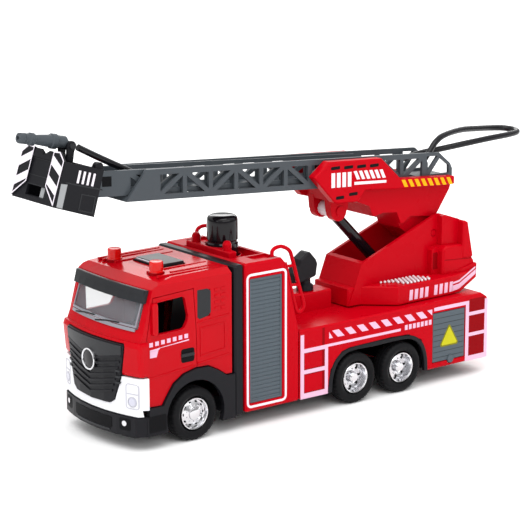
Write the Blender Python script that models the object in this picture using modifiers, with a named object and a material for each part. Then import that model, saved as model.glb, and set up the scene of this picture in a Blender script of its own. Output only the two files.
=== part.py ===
"""Toy fire engine with a turntable ladder, about 1:40, as separate pieces.

Stations are in millimetres: x forward (front axle at 70), y to the left, z up from the ground.
"""
import math

import bmesh
import bpy
from mathutils import Matrix, Vector

MM = 0.001
MIDDLE = 12.0667  # station of the middle of the toy's length, which becomes x = 0
GAP = 0.35  # between neighbouring pieces

BODY_HALF = 32.0        # half width of the pump box and the rear body
CAB_HALF = 30.5
NOSE_HALF = 32.2
WALL = 1.8
CAB_WALL = 1.6
PAN_HALF = 27.4
NOSE_X = 107.0  # foremost station of the nose, on the centre line

WHEEL_R = 12.9
AXLES = (("front", 70.0, 31.6), ("mid", -27.4, 33.1), ("rear", -57.55, 33.1))
AXLE_R = 1.2

SLOPE = 0.0667  # rise of the boom per millimetre forward
BASE_DEPTH = 14.5
BASE_HALF = 10.0
FLY_DEPTH = 11.9
FLY_HALF = 7.6
BAY = 15.05             # pitch of the ladder's uprights
FIRST_UPRIGHT = 74.4

BUTTON = (30.3, 0.0)
TURN_X = -79.0
BOOM_PIVOT = (-95.0, 74.0)
STRUT_TOP = (-36.5, 92.0)
STRUT_FOOT = (-78.0, 51.0)
BASKET_PIVOT = (105.2, 121.0)
NOZZLE_PIN = (117.4, 141.0)
MONITOR = (-21.0, 0.0)
HOSE_R = 1.6

for old in list(bpy.data.objects):
    bpy.data.objects.remove(old, do_unlink=True)
PARTS = bpy.data.collections.new("toy_fire_engine")
bpy.context.scene.collection.children.link(PARTS)

COLOURS = {
    "red": ((0.72, 0.004, 0.016), 0.28, 0.0),
    "white": ((0.86, 0.86, 0.87), 0.35, 0.0),
    "black": ((0.022, 0.022, 0.025), 0.42, 0.0),
    "dark": ((0.012, 0.012, 0.014), 0.6, 0.0),
    "grey": ((0.105, 0.125, 0.14), 0.45, 0.0),
    "shutter": ((0.13, 0.16, 0.18), 0.5, 0.0),
    "rubber": ((0.017, 0.017, 0.018), 0.7, 0.0),
    "chrome": ((0.74, 0.74, 0.76), 0.15, 1.0),
    "steel": ((0.55, 0.55, 0.57), 0.3, 1.0),
    "clear": ((0.85, 0.9, 0.93), 0.05, 0.0),
    "lamp_red": ((0.75, 0.01, 0.01), 0.12, 0.0),
}


def world(x, y, z):
    """A station point in metres."""
    return Vector(((x - MIDDLE) * MM, y * MM, z * MM))


def paint(obj, colour):
    """Give a piece its own material."""
    rgb, rough, metal = COLOURS[colour]
    material = bpy.data.materials.new(obj.name)
    material.use_nodes = True
    shader = material.node_tree.nodes["Principled BSDF"]
    shader.inputs["Base Color"].default_value = (*rgb, 1.0)
    shader.inputs["Roughness"].default_value = rough
    shader.inputs["Metallic"].default_value = metal
    obj.data.materials.clear()
    obj.data.materials.append(material)
    return obj


def piece(name, mesh):
    """Link a mesh as an object whose vertices are in the toy's own frame."""
    obj = bpy.data.objects.new(name, mesh)
    PARTS.objects.link(obj)
    return obj


def evaluated_mesh(obj):
    bpy.context.view_layer.update()
    graph = bpy.context.evaluated_depsgraph_get()
    mesh = bpy.data.meshes.new_from_object(obj.evaluated_get(graph))
    mesh.transform(obj.matrix_world)
    return mesh


def tidy(mesh):
    """Weld the loose caps of a shape and turn its faces outward."""
    bm = bmesh.new()
    bm.from_mesh(mesh)
    bmesh.ops.remove_doubles(bm, verts=bm.verts, dist=2e-6)
    bmesh.ops.dissolve_limit(bm, angle_limit=0.003, verts=bm.verts, edges=bm.edges)
    bmesh.ops.recalc_face_normals(bm, faces=bm.faces)
    bm.to_mesh(mesh)
    bm.free()
    return mesh


def block(name, lo, hi):
    """A box between two opposite corners."""
    a, b = world(*lo), world(*hi)
    mesh = bpy.data.meshes.new(name)
    bm = bmesh.new()
    bmesh.ops.create_cube(bm, size=1.0)
    bmesh.ops.transform(bm, matrix=Matrix.Diagonal((*(b - a), 1.0)), verts=bm.verts)
    bmesh.ops.translate(bm, vec=(a + b) / 2, verts=bm.verts)
    bm.to_mesh(mesh)
    bm.free()
    return piece(name, mesh)


def rod(name, a, b, r, r2=None, sides=20):
    """A round bar between two points, or a taper when r2 is given."""
    a, b = world(*a), world(*b)
    mesh = bpy.data.meshes.new(name)
    bm = bmesh.new()
    bmesh.ops.create_cone(
        bm,
        cap_ends=True,
        segments=sides,
        radius1=r * MM,
        radius2=(r if r2 is None else r2) * MM,
        depth=(b - a).length,
    )
    turn = (b - a).to_track_quat("Z", "Y").to_matrix().to_4x4()
    bmesh.ops.transform(bm, matrix=Matrix.Translation((a + b) / 2) @ turn, verts=bm.verts)
    bm.to_mesh(mesh)
    bm.free()
    return piece(name, mesh)


def prism(name, outlines, along, lo, hi):
    """Flat outlines, given as point pairs, made solid along one axis; later outlines are holes."""
    if not isinstance(outlines[0][0], (tuple, list)):
        outlines = [outlines]
    curve = bpy.data.curves.new(name, "CURVE")
    curve.dimensions = "2D"
    curve.fill_mode = "BOTH"
    curve.extrude = (hi - lo) / 2 * MM
    for outline in outlines:
        spline = curve.splines.new("POLY")
        spline.points.add(len(outline) - 1)
        spline.use_cyclic_u = True
        for point, (u, v) in zip(spline.points, outline):
            shift = 0.0 if along == "x" else MIDDLE
            point.co = ((u - shift) * MM, v * MM, 0.0, 1.0)
    obj = bpy.data.objects.new(name + "_outline", curve)
    PARTS.objects.link(obj)
    middle = (lo + hi) / 2 * MM
    if along == "y":
        obj.matrix_world = Matrix.Translation((0, middle, 0)) @ Matrix.Rotation(math.pi / 2, 4, "X")
    elif along == "x":
        turn = Matrix(((0, 0, 1, 0), (1, 0, 0, 0), (0, 1, 0, 0), (0, 0, 0, 1)))
        obj.matrix_world = Matrix.Translation((middle - MIDDLE * MM, 0, 0)) @ turn
    else:
        obj.matrix_world = Matrix.Translation((0, 0, middle))
    mesh = evaluated_mesh(obj)
    bpy.data.objects.remove(obj)
    bpy.data.curves.remove(curve)
    mesh.materials.clear()
    return piece(name, tidy(mesh))


def turned(name, profile, foot, head, sides=24):
    """A turned shape: (radius, height) pairs from the top down its outer side, about foot to head."""
    foot, head = world(*foot), world(*head)
    mesh = bpy.data.meshes.new(name)
    bm = bmesh.new()
    points = [bm.verts.new((r * MM, 0, h * MM)) for r, h in profile]
    for a, b in zip(points, points[1:]):
        bm.edges.new((a, b))
    if profile[0][0] > 0:
        bm.edges.new((points[-1], points[0]))
    bm.to_mesh(mesh)
    bm.free()
    obj = bpy.data.objects.new(name + "_profile", mesh)
    PARTS.objects.link(obj)
    screw = obj.modifiers.new("turn", "SCREW")
    screw.steps = sides
    screw.render_steps = sides
    screw.use_merge_vertices = True
    screw.merge_threshold = 1e-6
    turn = (head - foot).to_track_quat("Z", "Y").to_matrix().to_4x4()
    obj.matrix_world = Matrix.Translation(foot) @ turn
    result = tidy(evaluated_mesh(obj))
    bpy.data.objects.remove(obj)
    return piece(name, result)


def tube(name, points, r, smoothness=2):
    """A round wire or hose along a line of stations."""
    curve = bpy.data.curves.new(name, "CURVE")
    curve.dimensions = "3D"
    curve.bevel_depth = r * MM
    curve.bevel_resolution = smoothness
    curve.use_fill_caps = True
    spline = curve.splines.new("POLY")
    spline.points.add(len(points) - 1)
    for point, station in zip(spline.points, points):
        point.co = (*world(*station), 1.0)
    obj = bpy.data.objects.new(name + "_line", curve)
    PARTS.objects.link(obj)
    mesh = evaluated_mesh(obj)
    bpy.data.objects.remove(obj)
    bm = bmesh.new()
    bm.from_mesh(mesh)
    bmesh.ops.remove_doubles(bm, verts=bm.verts, dist=2e-6)
    bmesh.ops.recalc_face_normals(bm, faces=bm.faces)
    bm.to_mesh(mesh)
    bm.free()
    return piece(name, mesh)


def boolean(target, operation, others):
    for other in others:
        modifier = target.modifiers.new(operation.lower(), "BOOLEAN")
        modifier.operation = operation
        modifier.object = other
    mesh = evaluated_mesh(target)
    target.modifiers.clear()
    target.data = mesh
    for other in others:
        bpy.data.objects.remove(other)
    return target


def cut(target, *cutters):
    return boolean(target, "DIFFERENCE", cutters)


def join(target, *others):
    return boolean(target, "UNION", others)


def bevelled(obj, width, segments=1, angle=50):
    modifier = obj.modifiers.new("edges", "BEVEL")
    modifier.width = width * MM
    modifier.segments = segments
    modifier.limit_method = "ANGLE"
    modifier.angle_limit = math.radians(angle)
    mesh = evaluated_mesh(obj)
    obj.modifiers.clear()
    obj.data = mesh
    return obj


def mirrored(outline):
    """A half outline with y above zero, closed with its mirror image."""
    return list(outline) + [(u, -v) for u, v in reversed(outline) if abs(v) > 1e-6]


def mirrored_across(outline):
    """A half outline in (y, z) with y above zero, closed with its mirror image."""
    return list(outline) + [(-u, v) for u, v in reversed(outline) if abs(u) > 1e-6]


def arc(centre, r, start, stop, count):
    """Points of a circle between two angles in degrees."""
    points = []
    for i in range(count + 1):
        angle = math.radians(start + (stop - start) * i / count)
        points.append((centre[0] + r * math.cos(angle), centre[1] + r * math.sin(angle)))
    return points


def inset(outline, distance):
    """Move every side of a convex outline inward."""
    area = 0.0
    for (x0, z0), (x1, z1) in zip(outline, outline[1:] + outline[:1]):
        area += x0 * z1 - x1 * z0
    side = 1.0 if area > 0 else -1.0
    result = []
    for i, (x1, z1) in enumerate(outline):
        x0, z0 = outline[i - 1]
        x2, z2 = outline[(i + 1) % len(outline)]
        before = Vector((x1 - x0, z1 - z0)).normalized()
        after = Vector((x2 - x1, z2 - z1)).normalized()
        n0 = Vector((-before.y, before.x)) * side
        n1 = Vector((-after.y, after.x)) * side
        bend = (n0 + n1) / (1.0 + n0.dot(n1))
        result.append((x1 + bend.x * distance, z1 + bend.y * distance))
    return result


def swept(x, y, z):
    """How far the nose has swept back at this place: its plan is a shallow curve."""
    strength = 0.0061 - 0.0044 * min(max((z - 40.0) / 36.0, 0.0), 1.0)
    reach = min(max((x - 89.0) / 6.0, 0.0), 1.0)
    return strength * y * y * reach


def bow(obj):
    """Sweep the front of a piece back towards both sides."""
    bm = bmesh.new()
    bm.from_mesh(obj.data)
    for line in (-28.5, -24.0, -18.0, -10.0, 0.0, 10.0, 18.0, 24.0, 28.5):
        bmesh.ops.bisect_plane(
            bm,
            geom=bm.verts[:] + bm.edges[:] + bm.faces[:],
            dist=1e-6,
            plane_co=(0, line * MM, 0),
            plane_no=(0, 1, 0),
        )
    for vert in bm.verts:
        x = vert.co.x / MM + MIDDLE
        vert.co.x -= swept(x, vert.co.y / MM, vert.co.z / MM) * MM
    bmesh.ops.triangulate(bm, faces=bm.faces)
    bm.to_mesh(obj.data)
    bm.free()
    return obj


def pivot(obj, x, y, z):
    """Put a piece's origin on its joint."""
    at = world(x, y, z)
    obj.data.transform(Matrix.Translation(-at))
    obj.location = at
    return obj


def top_line(x):
    return 126.9 - SLOPE * (81.0 - x)


def base_line(x):
    return top_line(x) - BASE_DEPTH


def fly_line(x):
    return top_line(x) - FLY_DEPTH


# ---- chassis and cab ---------------------------------------------------------------------------

def chassis():
    plan = [(-115.0, 24.0), (-112.0, 29.6), (-73.5, 29.6), (-73.5, 20.5), (-11.8, 20.5), (-11.8, 29.6)]
    plan += [(6.0, 29.6), (7.0, PAN_HALF), (51.0, PAN_HALF), (51.0, 20.5), (88.5, 20.5), (88.5, 26.0), (96.5, 24.0)]
    pan = prism("chassis_base", mirrored(plan), "z", 9.2, 16.2)
    top = block("pan_hollow", (-106.0, -18.0, 10.9), (92.0, 18.0, 20.0))
    bores = [rod("bore", (x, -40, WHEEL_R), (x, 40, WHEEL_R), AXLE_R + 0.3, sides=12) for _, x, _ in AXLES]
    return paint(cut(pan, top, *bores), "black")


def fender_outline(grow=0.0):
    """The wheel arch moulding's outer edge, from the front over the wheel to the rear."""
    points = [(88.3, 20.4), (86.3, 23.6), (82.1, 29.6), (76.4, 33.2), (69.5, 34.8)]
    points += [(62.0, 34.6), (56.5, 31.8), (51.5, 28.4)]
    result = []
    for x, z in points:
        out = Vector((x - 70.0, z - 12.9)).normalized() * grow
        result.append((x + out.x, z + out.y))
    return result


DOOR = [(96.3, 20.9), (96.3, 53.6), (92.7, 71.7), (70.2, 72.9), (68.8, 53.1), (68.5, 35.4)]
DOOR_WINDOW = [(90.5, 69.5), (76.5, 70.3), (75.1, 69.3), (73.3, 60.6), (73.7, 58.4), (75.4, 55.4), (76.6, 54.8)]
DOOR_WINDOW += [(90.2, 54.4)]


def door_outline(grow=0.0):
    """The door's edge: its lower side follows the wheel arch."""
    edge = DOOR + [(x, z) for x, z in reversed(fender_outline(0.45)) if x > 69.0]
    if grow == 0.0:
        return edge
    grown = []
    for x, z in edge:
        dx = grow if x > 91.0 else (-grow if x < 70.5 else 0.0)
        dz = grow if z > 70.0 else (-grow if z < 36.0 else 0.0)
        grown.append((x + dx, z + dz))
    return grown


def cab():
    side = [(48.0, 28.9), (48.0, 80.0), (80.0, 79.6), (88.4, 78.4), (94.6, 75.6), (102.4, 55.8)]
    side += [(104.9, 51.0), (104.9, 36.2), (96.0, 36.2), (96.0, 20.5), (80.0, 20.5), (60.0, 28.9)]
    shell = prism("cab_shell", side, "y", -CAB_HALF, CAB_HALF)
    section = [(CAB_HALF + 1, 10), (CAB_HALF + 1, 76.6), (27.4, 79.6), (27.0, 90), (0, 90)]
    shell = boolean(shell, "INTERSECT", [prism("section", mirrored_across(section), "x", 40, 120)])
    nose = [(96.8, 35.5), (96.8, 50.6), (99.6, 51.9), (105.8, 51.9), (NOSE_X, 49.6), (NOSE_X, 35.5)]
    shell = join(shell, bevelled(prism("nose", nose, "y", -NOSE_HALF, NOSE_HALF), 1.6, 2, 80))
    inner = [(49.6, 10), (49.6, 78.2), (80.0, 77.8), (87.8, 76.7), (93.3, 74.6), (100.6, 55.4)]
    inner += [(102.9, 50.3), (105.2, 48.6), (105.2, 10)]
    room = prism("room", inner, "y", -(CAB_HALF - CAB_WALL), CAB_HALF - CAB_WALL)
    shell = bow(cut(shell, room))
    screen = [(26.9, 57.2), (26.9, 73.6), (-26.9, 73.6), (-26.9, 57.2)]
    arches = prism("arch", [(100, 0), (97.2, 20.0)] + fender_outline(0.5) + [(30, 20), (30, 0)], "y", -40, 40)
    doors = prism("doorway", door_outline(0.35), "y", -40, 40)
    windows = prism("rear_window", [(60.5, 58.7), (67.5, 58.7), (67.5, 71.5), (60.5, 71.5)], "y", -40, 40)
    cut(shell, prism("screen", screen, "x", 90.5, 110), arches, doors, windows)
    grille = prism("grille_hole", grille_outline(GAP), "x", 100, 112)
    return paint(cut(shell, grille), "red")


def grille_outline(grow=0.0):
    half = [(0, 20.9 - grow), (13.5, 21.4 - grow), (16.6 + grow, 23.2), (20.5 + grow, 34.0)]
    half += [(23.4 + grow, 49.4), (22.4 + grow, 50.6 + grow), (0, 50.6 + grow)]
    return mirrored_across(half)


def cab_front():
    grille = prism("grille_panel", grille_outline(), "x", NOSE_X - 1.4, NOSE_X + 0.5)
    paint(bow(grille), "black")
    badge = turned("badge_ring", [(0, 0.9), (4.6, 0.9), (5.2, 0.4), (5.2, 0), (0, 0)], (107.8, 0, 39.5), (120, 0, 39.5))
    paint(badge, "chrome")
    glass = [(94.25, 73.3), (95.25, 73.3), (101.85, 57.5), (100.85, 57.5)]
    paint(bow(prism("windscreen", glass, "y", -26.5, 26.5)), "clear")
    visor = [(95.1, 75.3), (96.9, 75.6), (99.2, 69.6), (97.5, 69.4)]
    paint(bow(prism("sun_visor", visor, "y", -28.6, 28.6)), "black")


def bumpers():
    plan = [(96.8, 32.3), (103.5, 32.3), (NOSE_X, 30.0), (NOSE_X, 0)]
    hood = prism("headlamp_bumper", mirrored(plan), "z", 17.0, 35.1)
    plan_in = [(90.0, 29.6), (102.5, 29.6), (NOSE_X - 2.2, 27.8), (NOSE_X - 2.2, 0)]
    cut(hood, prism("hood_in", mirrored(plan_in), "z", 0, 50))
    bow(hood)
    cut(hood, prism("grille_hole", grille_outline(GAP), "x", 100, 112))
    corner = [(90.0, 10.0), (97.8, 10.0), (99.6, 20.0), (96.0, 20.0)]
    cut(hood, prism("corner", corner, "y", -40, 40))
    cut(hood, block("rear_trim", (80.0, -40, 10), (96.7, 40, 40)))
    paint(hood, "white")

    plan = [(95.5, 31.4), (103.5, 31.4), (NOSE_X + 0.6, 29.0), (NOSE_X + 0.6, 0)]
    bar = prism("lower_bumper", mirrored(plan), "z", 7.0, 16.4)
    plan_in = [(90.0, 28.9), (102.5, 28.9), (NOSE_X - 1.8, 27.0), (NOSE_X - 1.8, 0)]
    cut(bar, prism("bar_in", mirrored(plan_in), "z", 0, 50))
    bow(bar)
    skirt = [(97.5, 7.0), (97.5, 16.3), (96.3, 16.3), (96.3, 20.4)] + fender_outline()
    skirt += [(46.9, 28.4), (46.9, 6.8)] + arc((70, 12.9), 16.6, 201.5, -20.8, 16)
    for side in (-1, 1):
        lo, hi = sorted((side * 28.9, side * 31.7))
        join(bar, prism("skirt", skirt, "y", lo, hi))
    paint(bar, "black")


def cab_inside():
    floor = block("cab_interior", (50.2, -28.4, 36.4), (96.0, 28.4, 38.0))
    dash = prism("dash", [(92.0, 37.0), (92.0, 52.0), (94.5, 54.0), (98.0, 53.0), (99.5, 37.0)], "y", -25.5, 25.5)
    join(floor, dash)
    for y in (-14.5, 14.5):
        seat = [(62.0, 37.0), (60.0, 66.0), (63.5, 66.5), (66.5, 46.0), (78.0, 46.5), (79.5, 37.0)]
        join(floor, prism("seat", seat, "y", y - 8.5, y + 8.5))
    join(floor, rod("column", (93.5, 14.5, 49.5), (88.6, 14.5, 54.0), 1.0, sides=10))
    join(floor, rod("wheel", (88.8, 14.5, 53.8), (87.8, 14.5, 54.8), 5.6, sides=16))
    paint(floor, "dark")


def doors():
    for name, side in (("door_left", 1), ("door_right", -1)):
        lo, hi = sorted((side * (CAB_HALF - CAB_WALL), side * CAB_HALF))
        door = prism(name, [door_outline(), DOOR_WINDOW], "y", lo, hi)
        paint(door, "red")
        pivot(door, 96.5, side * CAB_HALF, 45.0)


def roof_pieces():
    hatch = prism("roof_hatch", [(60.8, 80.3), (60.8, 81.3), (73.2, 81.3), (74.6, 80.3)], "y", -10.3, 10.3)
    paint(hatch, "grey")
    dome = [(0, 5.5), (1.9, 5.1), (3.1, 3.9), (3.6, 2.2), (3.6, 0), (0, 0)]
    for name, side in (("beacon_left", 1), ("beacon_right", -1)):
        lamp = turned(name, dome, (81.4, side * 17.2, 80.0), (81.4, side * 17.2, 90), 16)
        paint(lamp, "lamp_red")


# ---- pump box ----------------------------------------------------------------------------------

def divider():
    band = block("divider_band", (41.4, -31.2, 7.0), (46.6, 31.2, 80.3))
    bevelled(band, 0.8)
    cut(band, block("divider_in", (30, -28.4, 0), (60, 28.4, 76.0)))
    paint(band, "black")


BOX_SIDE = [(8.35, 8.0), (41.0, 8.0), (41.0, 80.6), (19.2, 80.6), (16.7, 78.0), (8.35, 43.6)]


def box_edge(z):
    """Station of the pump box's slanted rear edge."""
    return 8.35 + (z - 43.6) * (16.7 - 8.35) / (78.0 - 43.6)


def pump_box():
    box = bevelled(prism("pump_box", BOX_SIDE, "y", -BODY_HALF, BODY_HALF), 0.8)
    inner = [(10.2, 0), (39.2, 0), (39.2, 75.0), (18.4, 75.0), (10.2, 43.0)]
    cut(box, prism("box_in", inner, "y", -(BODY_HALF - WALL), BODY_HALF - WALL))
    cut(box, block("pan_way", (0, -29.9, 0), (45, 29.9, 16.6)))
    cut(box, block("shutter_hole", (18.8, -40, 12.0), (38.5, 40, 73.0)))
    cut(box, block("roof_recess", (21.0, -18.5, 77.4), (39.9, 18.5, 90)))
    cut(box, rod("button_hole", (*BUTTON, 70), (*BUTTON, 90), 8.75, sides=28))
    for side in (-1, 1):
        lo, hi = sorted((side * 20.0, side * 28.4))
        cut(box, block("roof_notch", (20.0, lo, 79.4), (32.0, hi, 90)))
    paint(box, "red")
    for name, side in (("shutter_left", 1), ("shutter_right", -1)):
        lo, hi = sorted((side * 30.3, side * 31.6))
        paint(block(name, (19.1, lo, 12.3), (38.2, hi, 72.7)), "shutter")


def ladder_rest():
    bar = block("ladder_rest", (34.8, -17.5, 77.75), (39.4, 17.5, 83.3))
    bevelled(bar, 0.5)
    for side in (-1, 1):
        y = side * 12.4
        join(bar, turned("peg", [(0, 6.0), (1.5, 5.6), (2.2, 4.2), (2.3, 0), (0, 0)], (36.9, y, 82), (36.9, y, 90), 12))
    cut(bar, rod("button_way", (*BUTTON, 70), (*BUTTON, 95), 8.4, sides=28))
    paint(bar, "red")


def pump():
    cap = [(0, 98.0), (5.6, 98.0), (7.0, 97.2), (7.6, 95.6), (8.05, 68.0), (6.6, 68.0), (6.3, 96.4)]
    cap += [(2.8, 96.4), (2.8, 50.0), (0, 50.0)]
    button = turned("pump_button", cap, (*BUTTON, 0), (*BUTTON, 100), 28)
    paint(button, "black")
    pivot(button, *BUTTON, 98.0)
    barrel = [(0, 24.0), (3.3, 24.0), (3.3, 72.0), (5.6, 72.0), (5.6, 16.6), (0, 16.6)]
    cylinder = turned("pump_cylinder", barrel, (*BUTTON, 0), (*BUTTON, 100), 16)
    paint(cylinder, "black")
    turns, per_turn = 5, 9
    coil = []
    for i in range(turns * per_turn + 1):
        angle = 2 * math.pi * i / per_turn
        z = 73.0 + (95.6 - 73.0) * i / (turns * per_turn)
        coil.append((BUTTON[0] + 4.5 * math.cos(angle), 4.5 * math.sin(angle), z))
    paint(tube("pump_spring", coil, 0.45, 1), "steel")


def grab_ladders():
    def outer(z):
        return 3.9 + (z - 57.1) * (10.2 - 3.9) / (78.8 - 57.1)

    edge = [(24.1, 81.0), (21.7, 85.3), (16.9, 86.1), (12.0, 83.4), (10.2, 78.8), (3.9, 57.1), (6.4, 51.2)]
    edge += [(box_edge(51.2) - GAP, 51.2), (box_edge(77.8) - GAP, 77.8), (18.7, 81.0)]
    holes = [[(22.0, 82.4), (20.6, 84.0), (17.2, 84.5), (13.5, 82.3), (12.1, 79.0), (16.3, 79.0), (18.3, 82.4)]]
    for low, high in ((66.0, 74.4), (61.0, 64.0), (53.2, 59.4)):
        left = 6.6 if low < 55 else outer(low) + 1.7
        hole = [(left, low), (box_edge(low) - 1.9, low), (box_edge(high) - 1.9, high), (outer(high) + 1.7, high)]
        holes.append(hole)
    for name, side in (("grab_ladder_left", 1), ("grab_ladder_right", -1)):
        lo, hi = sorted((side * 28.9, side * 31.1))
        paint(prism(name, [edge] + holes, "y", lo, hi), "red")


# ---- rear body ---------------------------------------------------------------------------------

ARCH = [(-9.8, 8.4), (-11.6, 19.7), (-18.6, 27.7), (-23.7, 28.9), (-49.9, 29.5), (-62.0, 29.0)]
ARCH += [(-70.9, 24.9), (-75.2, 13.6), (-75.4, 8.4)]


def rear_body():
    side = [(-117.6, 8.0), (7.9, 8.0), (7.9, 43.0), (-113.0, 43.0), (-117.6, 40.0)]
    body = bevelled(prism("rear_body", side, "y", -BODY_HALF, BODY_HALF), 0.8)
    cut(body, block("body_in", (-115.8, -30.2, 0), (6.1, 30.2, 41.0)))
    cut(body, block("pan_way", (5.0, -29.9, 0), (9.0, 29.9, 16.6)))
    join(body, bevelled(block("platform", (-33.5, -6.5, 42.0), (7.9, 6.5, 52.5)), 0.8))
    tail = block("tail", (-119.4, -26.0, 8.2), (-117.0, 26.0, 12.4))
    join(body, tail)
    outline = [(ARCH[0][0] + 0.3, 0)] + [(x + (0.3 if x > -40 else -0.3), z + 0.3) for x, z in ARCH]
    outline += [(ARCH[-1][0] - 0.3, 0)]
    cut(body, prism("arch", outline, "y", -40, 40))
    cut(body, block("flap_hole", (-101.4, -40, 11.0), (-78.8, 40, 37.4)))
    cut(body, rod("tab_way", (-91.3, -40, 11.6), (-91.3, 40, 11.6), 2.5, sides=14))
    cut(body, rod("spigot_hole", (TURN_X, 0, 30), (TURN_X, 0, 60), 6.5))
    cut(body, rod("monitor_hole", (*MONITOR, 46.0), (*MONITOR, 60), 2.0, sides=16))
    paint(body, "red")

    inside = [(-12.3, 8.4), (-13.9, 18.7), (-19.7, 25.6), (-23.9, 26.5), (-49.9, 27.1), (-61.5, 26.6)]
    inside += [(-68.9, 23.1), (-72.8, 13.3), (-73.0, 8.4)]
    for name, hand in (("arch_trim_left", 1), ("arch_trim_right", -1)):
        lo, hi = sorted((hand * 30.5, hand * 32.5))
        paint(prism(name, ARCH + inside[::-1], "y", lo, hi), "black")

    for name, hand in (("flap_left", 1), ("flap_right", -1)):
        lo, hi = sorted((hand * 30.4, hand * 31.8))
        flap = block(name, (-101.0, lo, 11.4), (-79.2, hi, 37.0))
        join(flap, rod("tab", (-91.3, lo, 11.6), (-91.3, hi + hand * 0.6 if hand > 0 else hi, 11.6), 2.1, sides=14))
        paint(flap, "shutter")
        pivot(flap, -90.1, hand * 31.1, 36.4)

    tank = block("water_tank", (-108.0, -17.0, 17.0), (-86.0, 17.0, 33.0))
    bevelled(tank, 1.5)
    cut(tank, rod("filler", (-97, 0, 20), (-97, 0, 40), 3.0, sides=16))
    cut(tank, block("tank_in", (-106.0, -15.0, 19.0), (-88.0, 15.0, 31.0)))
    paint(tank, "white")


# ---- wheels ------------------------------------------------------------------------------------

def wheels():
    tread = [(8.3, -0.9), (9.6, 0.0), (11.9, -0.2), (12.9, -1.4), (12.9, -7.6), (11.9, -8.8), (8.3, -8.8)]
    tread = tread[1:] + tread[:1]
    domed = [(0, -0.6), (2.4, -0.7), (2.9, -1.6), (5.4, -2.4), (6.5, -1.6), (7.9, -1.0), (7.9, -8.3)]
    domed += [(6.6, -8.3), (6.3, -5.0), (3.2, -5.0), (3.0, -8.0), (1.35, -8.0), (1.35, -3.0), (0, -3.0)]
    dished = [(0, -1.6), (2.2, -1.7), (2.6, -4.4), (5.0, -5.2), (6.4, -1.6), (7.9, -1.0), (7.9, -8.3)]
    dished += [(6.8, -8.3), (6.0, -7.4), (3.2, -7.6), (3.0, -8.2), (1.35, -8.2), (1.35, -3.4), (0, -3.4)]
    for name, x, outside in AXLES:
        reach = outside - 4.2
        axle = rod(name + "_axle", (x, -reach, WHEEL_R), (x, reach, WHEEL_R), AXLE_R, sides=12)
        paint(axle, "steel")
        pivot(axle, x, 0, WHEEL_R)
        for hand, word in ((1, "left"), (-1, "right")):
            foot = (x, hand * outside, WHEEL_R)
            head = (x, hand * (outside + 10), WHEEL_R)
            profile = domed if name == "front" else dished
            hub = turned(name + "_hub_" + word, profile, foot, head, 16)
            paint(hub, "chrome")
            pivot(hub, x, 0, WHEEL_R)
            tyre = turned(name + "_tyre_" + word, tread, foot, head, 24)
            paint(tyre, "rubber")
            pivot(tyre, x, 0, WHEEL_R)


# ---- deck monitor and turntable ----------------------------------------------------------------

def deck_monitor():
    x, y = MONITOR
    base = [(0, 62.0), (2.6, 62.0), (2.9, 56.2), (4.2, 55.2), (4.4, 52.9), (1.7, 52.9), (1.7, 47.5), (0, 47.5)]
    gun = turned("monitor", base, (x, y, 0), (x, y, 100), 16)
    head = [(-25.9, 59.6), (-26.8, 65.7), (-25.9, 67.9), (-21.6, 72.7), (-19.8, 72.0), (-15.5, 69.2)]
    head += [(-14.2, 66.0), (-11.5, 62.6), (-11.5, 56.8), (-16.8, 57.4)]
    join(gun, bevelled(prism("head", head, "y", -3.4, 3.4), 0.7))
    paint(gun, "black")
    pivot(gun, x, y, 52.9)


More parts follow.
